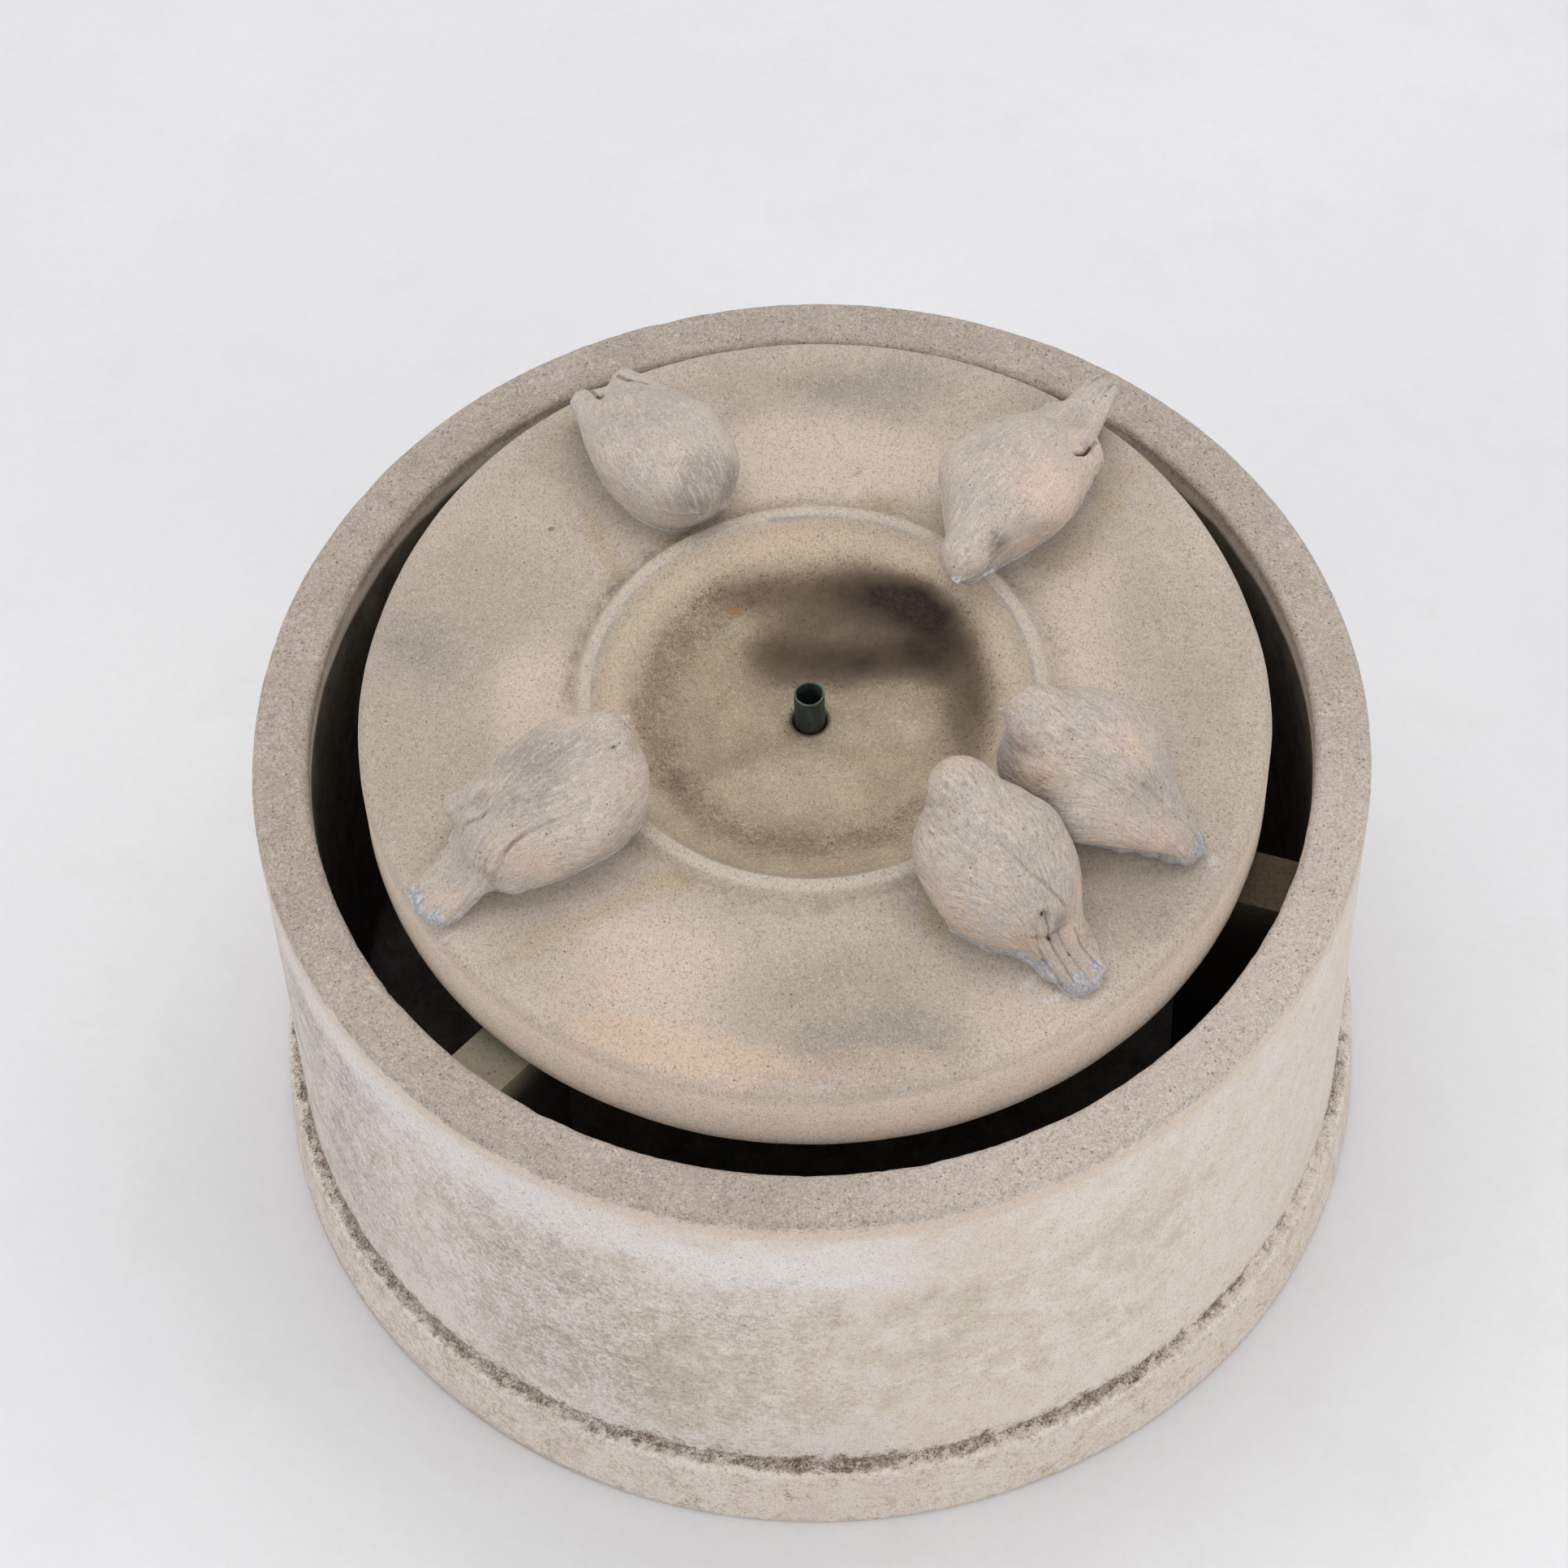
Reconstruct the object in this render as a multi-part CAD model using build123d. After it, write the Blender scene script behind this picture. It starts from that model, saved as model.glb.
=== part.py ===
from build123d import *
import math
import os

# Tiered garden fountain: a cast-stone reservoir basin with a lift-off cast-stone
# bowl top, five cast birds, a copper riser pipe and a submersible pump.
# Millimetres. Origin on the ground at the centre of the basin, +Z up.

# ---------------------------------------------------------------- basin
BASIN_H = 430.0            # rim height
RIM_OUT_R = 410.0          # rim, outside
RIM_IN_R = 368.0           # rim, inside
WALL_FOOT_R = 404.0        # outer wall where it meets the plinth ledge
PLINTH_TOP_R = 416.0
PLINTH_FOOT_R = 420.0
PLINTH_H = 69.0
FLOOR_T = 50.0             # basin floor thickness
FLOOR_IN_R = 360.0         # inner wall at the floor (casting draft)

# ---------------------------------------------------------------- top bowl
TOP_CX = 3.0               # the loose top sits this far off centre
TOP_R = 335.0              # largest radius of the top
TOP_UNDER_Z = 396.0        # underside
TOP_EDGE_Z = 472.0         # upper outer edge
TOP_INNER_Z = 478.0        # deck beside the bead
BEAD_R = 166.0             # bead centre line
BEAD_TOP_Z = 488.0
BOWL_R = 153.0             # lip of the bowl inside the bead
BOWL_FLOOR_Z = 453.5
PIPE_HOLE_R = 13.0

# ---------------------------------------------------------------- supports
PIER_W = 46.0
PIER_IN_R = 288.0
PIER_TOP_Z = 392.0
PIER_ANGLES = {"right": -19.0, "left": -134.0, "back": 103.0}
PAD_T = 3.8

# ---------------------------------------------------------------- riser and tube
PIPE_OD = 22.2
PIPE_WALL = 1.6
PIPE_TOP_Z = 487.0
PIPE_FOOT_Z = 322.0
TUBE_ID = 22.2
TUBE_OD = 28.0
TUBE_FOOT_Z = 147.0
TUBE_TOP_Z = 350.0

# ---------------------------------------------------------------- pump
CUP_H = 12.0
PUMP_Z0 = FLOOR_T + CUP_H  # underside of the housing
PUMP_H = 70.0
PUMP_W = 72.0
PUMP_Z1 = PUMP_Z0 + PUMP_H
AXIS_Z = PUMP_Z0 + PUMP_H / 2
BODY_X0, BODY_X1 = -95.0, -15.0
VOLUTE_R = 26.0
CHAMBER_R = 21.0
SHAFT_R = 1.5
IMPELLER_R = 16.0
MAGNET_R = 10.5
WELL_R = 12.2
COVER_X0, COVER_X1 = 14.5, 47.0
COVER_T = 2.5
DIAL_R = 18.0
DRAIN_XY = (-170.0, 120.0)
DRAIN_R = 15.3


def profile(points):
    """Closed XZ outline from (x, z, corner radius) points."""
    n = len(points)
    corners = []
    for i in range(n):
        px, pz, r = points[i]
        p = Vector(px, 0, pz)
        if r <= 0:
            corners.append((p, None, p))
            continue
        a = Vector(points[i - 1][0], 0, points[i - 1][1])
        b = Vector(points[(i + 1) % n][0], 0, points[(i + 1) % n][1])
        u = (a - p).normalized()
        v = (b - p).normalized()
        half = math.radians(u.get_angle(v)) / 2
        t = r / math.tan(half)
        bis = (u + v).normalized()
        centre = p + bis * (r / math.sin(half))
        corners.append((p + u * t, centre - bis * r, p + v * t))
    edges = []
    for i in range(n):
        s, m, e = corners[i]
        if m is not None:
            edges.append(ThreePointArc(s, m, e))
        nxt = corners[(i + 1) % n][0]
        if (nxt - e).length > 1e-6:
            edges.append(Line(e, nxt))
    return Face(Wire(edges))


def turn_z(points, cx=0.0, cy=0.0):
    solid = revolve(profile(points), Axis.Z, 360)
    return Location((cx, cy, 0)) * solid


def cyl_z(r, z0, z1, x=0.0, y=0.0):
    return Location((x, y, (z0 + z1) / 2)) * Cylinder(r, z1 - z0)


def cyl_x(r, x0, x1, y=0.0, z=AXIS_Z):
    return Location(((x0 + x1) / 2, y, z), (0, 90, 0)) * Cylinder(r, x1 - x0)


def box(x0, x1, y0, y1, z0, z1):
    return Location(((x0 + x1) / 2, (y0 + y1) / 2, (z0 + z1) / 2)) * Box(
        x1 - x0, y1 - y0, z1 - z0
    )


def ring_z(r_out, r_in, z0, z1, x=0.0, y=0.0):
    return cyl_z(r_out, z0, z1, x, y) - cyl_z(r_in, z0 - 1, z1 + 1, x, y)


def ring_x(r_out, r_in, x0, x1):
    return cyl_x(r_out, x0, x1) - cyl_x(r_in, x0 - 1, x1 + 1)


parts = {}

# ---------------------------------------------------------------- basin
basin = turn_z(
    [
        (0, 0, 0),
        (PLINTH_FOOT_R, 0, 3),
        (PLINTH_TOP_R, PLINTH_H, 4),
        (WALL_FOOT_R, PLINTH_H + 1.5, 3),
        (RIM_OUT_R, BASIN_H, 7),
        (RIM_IN_R, BASIN_H, 5),
        (FLOOR_IN_R, FLOOR_T, 14),
        (0, FLOOR_T, 0),
    ]
)
dx, dy = DRAIN_XY
basin -= cyl_z(DRAIN_R, -1, FLOOR_T + 1, dx, dy)
parts["basin"] = basin

# rubber stopper of the drain, with the passage for the pump's cord
parts["drain_stopper"] = (
    cyl_z(DRAIN_R - 0.3, 12, FLOOR_T + 0.6, dx, dy)
    + cyl_z(21, FLOOR_T + 0.5, FLOOR_T + 5, dx, dy)
    + cyl_z(7, FLOOR_T + 4.5, FLOOR_T + 16, dx, dy)
) - cyl_z(3.6, 0, FLOOR_T + 30, dx, dy)

# ---------------------------------------------------------------- supports
pads = []
for side, ang in PIER_ANGLES.items():
    blank = Location((0, 0, 0), (0, 0, ang)) * box(
        PIER_IN_R, RIM_IN_R - 1, -PIER_W / 2, PIER_W / 2, FLOOR_T, PIER_TOP_Z
    )
    parts["support_pier_" + side] = blank - basin
    pads.append(
        Location((0, 0, 0), (0, 0, ang))
        * box(292, 315, -18, 18, PIER_TOP_Z, PIER_TOP_Z + PAD_T)
    )
parts["support_pads"] = pads

# ---------------------------------------------------------------- top bowl
deck = [
    (PIPE_HOLE_R, BOWL_FLOOR_Z, 0),
    (60, BOWL_FLOOR_Z + 1.5, 60),
    (118, BOWL_FLOOR_Z + 8.5, 60),
    (BOWL_R, TOP_INNER_Z + 1, 3),
    (BEAD_R - 5, BEAD_TOP_Z - 0.5, 4),
    (BEAD_R + 5, BEAD_TOP_Z - 0.5, 4),
    (BEAD_R + 11, TOP_INNER_Z - 1, 3),
    (TOP_R - 3, TOP_EDGE_Z, 12),
    (TOP_R - 4, TOP_UNDER_Z + 10, 3),
    (TOP_R - 14, TOP_UNDER_Z, 3),
    (PIPE_HOLE_R, TOP_UNDER_Z, 0),
]
top_bowl = turn_z(deck)
top_bowl = Location((TOP_CX, 0, 0)) * top_bowl
# the pipe hole is at the centre of the basin
hole_fill = cyl_z(40, TOP_UNDER_Z, BOWL_FLOOR_Z, TOP_CX, 0)
top_bowl = (top_bowl + hole_fill) - cyl_z(PIPE_HOLE_R, 380, 500)
parts["top_bowl"] = top_bowl


# ---------------------------------------------------------------- birds
def bird(tail, head, width, back_z, head_z, head_r, tail_z, beak=14.0, tail_w=15.0,
         beak_drop=6.0, belly=0.62, front=0.86):
    """A perched cast bird: tail tip and head centre in plan, height of its back."""
    tx, ty = tail
    hx, hy = head
    length = math.hypot(hx - tx, hy - ty) + head_r * front
    heading = math.degrees(math.atan2(hy - ty, hx - tx))
    w = width / 2
    zt = tail_z
    stations = [
        (0.00, tail_w, 3.5, zt + 4.0),
        (0.17, tail_w * 0.95, 6.0, zt * 0.75 + 10),
        (0.32, w * 0.62, back_z * 0.26, back_z * 0.34),
        (0.50, w * 0.94, back_z * 0.42, back_z * 0.47),
        (0.66, w, back_z * 0.50, back_z * 0.49),
        (0.82, w * 0.84, back_z * 0.49, back_z * 0.48),
        (0.94, w * 0.50, back_z * 0.34, back_z * 0.48),
        (1.00, w * 0.18, back_z * 0.14, back_z * 0.48),
    ]
    body_len = length
    sections = [
        Plane(origin=(s * body_len, 0, z), x_dir=(0, 1, 0), z_dir=(1, 0, 0))
        * Ellipse(a, b)
        for s, a, b, z in stations
    ]
    solid = loft(sections)
    hs = length - head_r * front
    solid += Location((hs, 0, head_z)) * Sphere(head_r)
    tip = Vector(hs + head_r + beak, 0, head_z - beak_drop)
    root = Vector(hs + head_r * 0.55, 0, head_z - beak_drop * 0.3)
    pl = Plane(origin=root, z_dir=(tip - root).normalized())
    solid += pl * Location((0, 0, (tip - root).length / 2)) * Cone(
        head_r * 0.42, 2.0, (tip - root).length
    )
    # the underside of the breast runs into the deck
    solid += Location((0.60 * length, 0, -6)) * extrude(
        Ellipse(0.27 * length, w * belly), back_z * 0.35
    )
    placed = Location((tx, ty, TOP_INNER_Z - 2), (0, 0, heading)) * solid
    below = box(-500, 500, -500, 500, 380, TOP_EDGE_Z - 2)
    cut = placed - below - top_bowl
    return max(cut.solids(), key=lambda item: item.volume)


parts["bird_back_left"] = bird((-139, 284), (-77, 171), 97, 76, 45, 24, 12,
                               beak=5, tail_w=20)
parts["bird_back_right"] = bird((230, 257), (118, 98), 97, 74, 48, 21, 28,
                                beak=9, tail_w=15, beak_drop=9)
parts["bird_front_left"] = bird((-274, -170), (-148, -71), 100, 76, 64, 22, 7,
                                beak=11, tail_w=17)
parts["bird_front_right_a"] = bird((189, -249), (106, -130), 102, 80, 68, 25, 2,
                                   beak=6, tail_w=15)
parts["bird_front_right_b"] = bird((275, -148), (163, -69), 88, 82, 69, 24, 4,
                                   beak=11, tail_w=11)

# ---------------------------------------------------------------- riser pipe and tube
pr = PIPE_OD / 2
parts["riser_pipe"] = ring_z(pr, pr - PIPE_WALL, PIPE_FOOT_Z, PIPE_TOP_Z)
parts["pipe_seal"] = (
    ring_z(PIPE_HOLE_R, pr, TOP_UNDER_Z, TOP_UNDER_Z + 30)
    + ring_z(21, pr, TOP_UNDER_Z - 5, TOP_UNDER_Z)
)
parts["supply_tube"] = ring_z(TUBE_OD / 2, TUBE_ID / 2, TUBE_FOOT_Z, TUBE_TOP_Z)
tr = TUBE_OD / 2
clamp = ring_z(tr + 0.9, tr, 332, 344)
clamp += box(-7, 7, -(tr + 9), -(tr + 0.2), 332.5, 343.5)
clamp -= cyl_z(tr, 300, 380)
screw_bore = Location((0, -(tr + 4.8), 338), (0, 90, 0)) * Cylinder(2.6, 40)
parts["hose_clamp"] = clamp - screw_bore
parts["clamp_screw"] = (
    Location((0, -(tr + 4.8), 338), (0, 90, 0)) * Cylinder(2.6, 18)
    + Location((11.5, -(tr + 4.8), 338), (0, 90, 0))
    * extrude(RegularPolygon(4.0, 6), 2.5, both=True)
) - box(12.5, 15, -(tr + 4.8) - 5, -(tr + 4.8) + 5, 337.4, 338.6)

# ---------------------------------------------------------------- pump housing
body = fillet(
    box(BODY_X0, BODY_X1, -PUMP_W / 2, PUMP_W / 2, PUMP_Z0, PUMP_Z1).edges().filter_by(
        Axis.X
    ),
    8,
)
body = fillet(body.faces().sort_by(Axis.X)[0].edges(), 4)
body -= cyl_x(WELL_R, -60, BODY_X1 + 1)
body -= cyl_x(5, -66, -59)
body -= ring_x(24.8, 22.2, BODY_X1 - 2.4, BODY_X1 + 1)
core = box(-54, -20, -28, 28, AXIS_Z - 27, AXIS_Z + 27) - cyl_x(14, -60, -15)
for s in (-1, 1):
    core += box(-90, -53, min(s * 18, s * 26), max(s * 18, s * 26), AXIS_Z - 7, AXIS_Z + 7)
core += box(-90, -82, -26, 26, AXIS_Z - 7, AXIS_Z + 7)
coils = []
for s in (-1, 1):
    y0, y1 = sorted((s * 13, s * 31))
    i0, i1 = sorted((s * 18, s * 26))
    coils.append(
        box(-80, -64, y0, y1, AXIS_Z - 12, AXIS_Z + 12)
        - box(-81, -63, i0, i1, AXIS_Z - 7, AXIS_Z + 7)
    )
body -= core
for c in coils:
    body -= c
CUPS = [(x, y) for x in (-82, -28) for y in (-24, 24)]
for x, y in CUPS:
    body -= cyl_z(3.5, PUMP_Z0 - 1, PUMP_Z0 + 5, x, y)
body -= cyl_x(6, BODY_X0 - 1, BODY_X0 + 4, 0, AXIS_Z - 24)
parts["pump_body"] = body
parts["stator_core"] = core
parts["stator_coils"] = coils

cup = turn_z(
    [
        (0, FLOOR_T + 5, 0),
        (6, FLOOR_T + 5, 0),
        (13.5, FLOOR_T, 0),
        (15, FLOOR_T, 0),
        (15, FLOOR_T + 1.2, 0),
        (6, FLOOR_T + 7.5, 0),
        (6, PUMP_Z0, 0),
        (3.5, PUMP_Z0, 0),
        (3.5, PUMP_Z0 + 5, 0),
        (0, PUMP_Z0 + 5, 0),
    ]
)
parts["suction_cups"] = [Location((x, y, 0)) * cup for x, y in CUPS]

parts["cord_gland"] = (
    cyl_x(6, BODY_X0, BODY_X0 + 4, 0, AXIS_Z - 24)
    + cyl_x(8, BODY_X0 - 5, BODY_X0, 0, AXIS_Z - 24)
    + Location((BODY_X0 - 12, 0, AXIS_Z - 24), (0, -90, 0)) * Cone(7, 5, 14)
) - cyl_x(3.6, BODY_X0 - 30, BODY_X0 + 2, 0, AXIS_Z - 24)

# ---------------------------------------------------------------- volute and outlet
volute = cyl_x(VOLUTE_R, BODY_X1, 15)
volute += fillet(box(12, 17, -33, 33, PUMP_Z0 + 3, PUMP_Z1 - 3).edges().filter_by(Axis.X), 6)
volute += cyl_z(14, AXIS_Z + 15, 140)
volute -= cyl_x(CHAMBER_R, BODY_X1 - 1, 12)
volute -= cyl_z(9, AXIS_Z + 10, 141)
volute -= cyl_x(9, 10, 18)
spider = cyl_x(5.5, 7, 16)
for a in (90, 210, 330):
    arm = Location((0, 0, AXIS_Z), (a, 0, 0)) * box(12, 15.5, -1.2, 1.2, 0, 10.5)
    spider += arm
spider -= cyl_x(3.5, 6, 12)
parts["pump_volute"] = volute + spider
parts["volute_oring"] = Location((BODY_X1 - 1.25, 0, AXIS_Z), (0, 90, 0)) * Torus(23.5, 1.15)

barb = cyl_z(9, 128, 140) + cyl_z(14, 140, 144) + cyl_z(10.2, 143, 172)
for z in (152, 162):
    barb += Location((0, 0, z)) * Cone(10.8, 10.2, 6)
barb += Location((0, 0, 174)) * Cone(10.2, 8.6, 5)
parts["outlet_barb"] = barb - cyl_z(6.5, 120, 180)

# ---------------------------------------------------------------- rotor
parts["rotor_shaft"] = cyl_x(SHAFT_R, -64, 10)
parts["rear_bush"] = cyl_x(5, -66, -60) - cyl_x(SHAFT_R, -64, -59)
parts["front_bush"] = cyl_x(3.5, 6, 12) - cyl_x(SHAFT_R, 5, 10)
impeller = cyl_x(3, -58, -12) + cyl_x(IMPELLER_R + 1, -12.5, -10) + cyl_x(5, -10.5, 4)
for i in range(6):
    blade = Location((0, 0, AXIS_Z), (60 * i, 0, 0)) * box(-10.5, 2, -0.9, 0.9, 4, IMPELLER_R)
    impeller += blade
impeller -= cyl_x(SHAFT_R + 0.05, -60, 10)
parts["impeller"] = impeller
parts["rotor_magnet"] = ring_x(MAGNET_R, 3, -57, -14)

# ---------------------------------------------------------------- intake cover and dial
cover = box(COVER_X0, COVER_X1, -PUMP_W / 2, PUMP_W / 2, PUMP_Z0, PUMP_Z1)
cover = fillet(cover.edges().filter_by(Axis.X), 8)
inner = box(COVER_X0 - 1, COVER_X1 - COVER_T, -PUMP_W / 2 + COVER_T, PUMP_W / 2 - COVER_T,
            PUMP_Z0 + COVER_T, PUMP_Z1 - COVER_T)
inner = fillet(inner.edges().filter_by(Axis.X), 5.5)
cover -= inner
for i in range(5):
    z = AXIS_Z - 22 + 11 * i
    for s in (-1, 1):
        y0, y1 = sorted((s * 30, s * 40))
        cover -= box(22, 42, y0, y1, z - 1.8, z + 1.8)
for a in range(8):
    slot = Location((0, 0, AXIS_Z), (45 * a + 22.5, 0, 0)) * box(40, 50, -2.2, 2.2, 8, 15)
    cover -= slot
for s in (-1, 1):
    for i in range(4):
        z = AXIS_Z - 18 + 12 * i
        y0, y1 = sorted((s * 21.5, s * 29.5))
        cover -= box(40, 50, y0, y1, z - 1.8, z + 1.8)
PIN_R = 3.0
cover -= cyl_x(PIN_R, 40, 50)
parts["intake_cover"] = cover
dial = cyl_x(DIAL_R, COVER_X1 + 0.4, COVER_X1 + 3.4) + cyl_x(PIN_R - 0.05, 43, COVER_X1 + 1)
dial += cyl_x(4.2, 41.6, 44.1)
dial += box(COVER_X1 + 3, COVER_X1 + 7, -1.6, 1.6, AXIS_Z - 15, AXIS_Z + 15)
for a in range(4):
    dial -= Location((0, 0, AXIS_Z), (90 * a + 45, 0, 0)) * box(46, 52, -2.6, 2.6, 8, 15)
parts["flow_dial"] = dial

os.makedirs("parts", exist_ok=True)
for name, shape in parts.items():
    if isinstance(shape, list):
        solids = [s for item in shape for s in item.solids()]
        shape = Compound(solids)
    elif len(shape.solids()) == 1:
        shape = shape.solids()[0]
    export_step(shape, f"parts/{name}.step")
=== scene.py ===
import math

import bmesh
import bpy
import numpy as np
from mathutils import Matrix, Vector


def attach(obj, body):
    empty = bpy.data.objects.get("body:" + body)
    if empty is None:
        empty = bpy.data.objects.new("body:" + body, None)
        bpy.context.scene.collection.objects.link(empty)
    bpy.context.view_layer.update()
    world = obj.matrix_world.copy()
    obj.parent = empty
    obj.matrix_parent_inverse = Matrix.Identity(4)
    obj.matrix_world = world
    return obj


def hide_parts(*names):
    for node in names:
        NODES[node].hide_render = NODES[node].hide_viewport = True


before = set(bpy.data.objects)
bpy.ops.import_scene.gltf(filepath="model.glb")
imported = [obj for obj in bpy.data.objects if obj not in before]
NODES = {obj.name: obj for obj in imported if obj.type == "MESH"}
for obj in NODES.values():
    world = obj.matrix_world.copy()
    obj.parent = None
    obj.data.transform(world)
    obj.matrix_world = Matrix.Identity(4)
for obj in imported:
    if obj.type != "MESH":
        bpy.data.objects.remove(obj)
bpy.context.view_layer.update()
scene = bpy.context.scene
MM = 0.001


# ------------------------------------------------------------------ camera
def make_camera():
    yaw, pitch, roll = -0.0087, 0.9688, -0.0392
    fwd = Vector((math.sin(yaw) * math.cos(pitch), math.cos(yaw) * math.cos(pitch), -math.sin(pitch)))
    right = Vector((math.cos(yaw), -math.sin(yaw), 0.0))
    up = right.cross(fwd)
    r2 = math.cos(roll) * right + math.sin(roll) * up
    u2 = -math.sin(roll) * right + math.cos(roll) * up
    m = Matrix.Identity(4)
    for i in range(3):
        m[i][0], m[i][1], m[i][2] = r2[i], u2[i], -fwd[i]
    m[0][3], m[1][3], m[2][3] = 0.0, -2.3798, 3.8363
    cam = bpy.data.cameras.new("view_camera")
    cam.sensor_width = 36.0
    cam.lens = 36.0 * 7000.0 / 1932.0
    cam.clip_start, cam.clip_end = 0.05, 60.0
    ob = bpy.data.objects.new("view_camera", cam)
    ob.matrix_world = m
    scene.collection.objects.link(ob)
    scene.camera = ob


make_camera()
scene.view_settings.view_transform = "Standard"
scene.view_settings.look = "None"


def lin(r, g, b, k=1.0):
    """sRGB 0-255 to a linear colour."""
    out = []
    for c in (r, g, b):
        c = c / 255.0
        c = c / 12.92 if c <= 0.04045 else ((c + 0.055) / 1.055) ** 2.4
        out.append(min(1.0, c * k))
    return (*out, 1.0)


# ------------------------------------------------------------------ noise in numpy
def _hash(ix, iy, iz, seed):
    h = (ix * 374761393 + iy * 668265263 + iz * 2147483647 + seed * 974711) & 0xFFFFFFFF
    h = ((h ^ (h >> 13)) * 1274126177) & 0xFFFFFFFF
    h = ((h ^ (h >> 16)) * 2246822519) & 0xFFFFFFFF
    return h ^ (h >> 15)


def gnoise(p, seed=0):
    """Gradient noise in about -1..1 at points p (N, 3)."""
    p = np.asarray(p, float)
    i = np.floor(p).astype(np.int64)
    f = p - i
    u = f * f * f * (f * (f * 6 - 15) + 10)
    out = np.zeros(len(p))
    for dx in (0, 1):
        for dy in (0, 1):
            for dz in (0, 1):
                h = _hash(i[:, 0] + dx, i[:, 1] + dy, i[:, 2] + dz, seed)
                gx = (h & 1023) / 511.5 - 1
                gy = ((h >> 10) & 1023) / 511.5 - 1
                gz = ((h >> 20) & 1023) / 511.5 - 1
                d = gx * (f[:, 0] - dx) + gy * (f[:, 1] - dy) + gz * (f[:, 2] - dz)
                w = (u[:, 0] if dx else 1 - u[:, 0]) * (u[:, 1] if dy else 1 - u[:, 1]) * (
                    u[:, 2] if dz else 1 - u[:, 2])
                out += w * d
    return out * 1.2


def fbm(p, octaves=4, seed=0, gain=0.5):
    p = np.asarray(p, float)
    a, s, tot = 1.0, np.zeros(len(p)), 0.0
    for o in range(octaves):
        s += a * gnoise(p * (2.0 ** o) + 17.3 * o, seed + o)
        tot += a
        a *= gain
    return s / tot


def sstep(a, b, x):
    t = np.clip((np.asarray(x, float) - a) / (b - a), 0, 1)
    return t * t * (3 - 2 * t)


# ------------------------------------------------------------------ mesh helpers
def new_object(name, verts, faces, smooth=True):
    me = bpy.data.meshes.new(name)
    me.from_pydata([tuple(v) for v in verts], [], [tuple(f) for f in faces])
    me.validate()
    me.update()
    if smooth:
        me.polygons.foreach_set("use_smooth", [True] * len(me.polygons))
    ob = bpy.data.objects.new(name, me)
    scene.collection.objects.link(ob)
    return ob


def coords(ob):
    co = np.empty(len(ob.data.vertices) * 3)
    ob.data.vertices.foreach_get("co", co)
    return co.reshape(-1, 3)


def set_coords(ob, co):
    ob.data.vertices.foreach_set("co", np.asarray(co, float).ravel())
    ob.data.update()


def normals(ob):
    n = np.empty(len(ob.data.vertices) * 3)
    ob.data.vertices.foreach_get("normal", n)
    return n.reshape(-1, 3)


def attr(ob, name, rgba):
    """Stores four masks as a point colour attribute."""
    a = ob.data.attributes.new(name, "FLOAT_COLOR", "POINT")
    buf = np.ones((len(ob.data.vertices), 4))
    for i, ch in enumerate(rgba):
        buf[:, i] = np.clip(ch, 0, 1)
    a.data.foreach_set("color", buf.ravel())


def rounded(points, step):
    """Samples an outline of (r, z, corner radius[, step]) into a fine (r, z) line."""
    n = len(points)
    line = []
    for i, pt in enumerate(points):
        p = np.array(pt[:2], float)
        rad = pt[2]
        if i in (0, n - 1) or rad <= 0:
            line.append((p, pt))
            continue
        a = np.array(points[i - 1][:2], float) - p
        b = np.array(points[i + 1][:2], float) - p
        a /= np.linalg.norm(a)
        b /= np.linalg.norm(b)
        half = math.acos(max(-1, min(1, float(a @ b)))) / 2
        t = rad / math.tan(half)
        bis = (a + b) / np.linalg.norm(a + b)
        c = p + bis * rad / math.sin(half)
        s, e = p + a * t, p + b * t
        sweep = math.pi - 2 * half
        k = max(3, int(math.ceil(sweep * rad / min(step, 1.2))))
        k = min(k, 14)
        v0, v1 = s - c, e - c
        for j in range(k + 1):
            f = j / k
            w = (math.sin((1 - f) * sweep) * v0 + math.sin(f * sweep) * v1) / math.sin(sweep)
            line.append((c + w, pt))
    out = [line[0][0]]
    for (p, pt), (q, qt) in zip(line[:-1], line[1:]):
        d = np.linalg.norm(q - p)
        if d < 1e-6:
            continue
        st = qt[3] if len(qt) > 3 else step
        k = max(1, int(round(d / st)))
        for j in range(1, k + 1):
            out.append(p + (q - p) * j / k)
    return np.array(out)


def lathe_grid(line, nseg):
    """Rings of a turned shape: verts (n, nseg) and quads."""
    n = len(line)
    th = np.arange(nseg) * 2 * math.pi / nseg
    r = line[:, 0][:, None] * np.ones(nseg)[None]
    z = line[:, 1][:, None] * np.ones(nseg)[None]
    v = np.stack([r * np.cos(th), r * np.sin(th), z], -1).reshape(-1, 3)
    i = np.arange(n - 1)[:, None] * nseg
    j = np.arange(nseg)[None]
    j2 = (j + 1) % nseg
    quads = np.stack([i + j, i + j2, i + nseg + j2, i + nseg + j], -1).reshape(-1, 4)
    return v, quads


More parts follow.
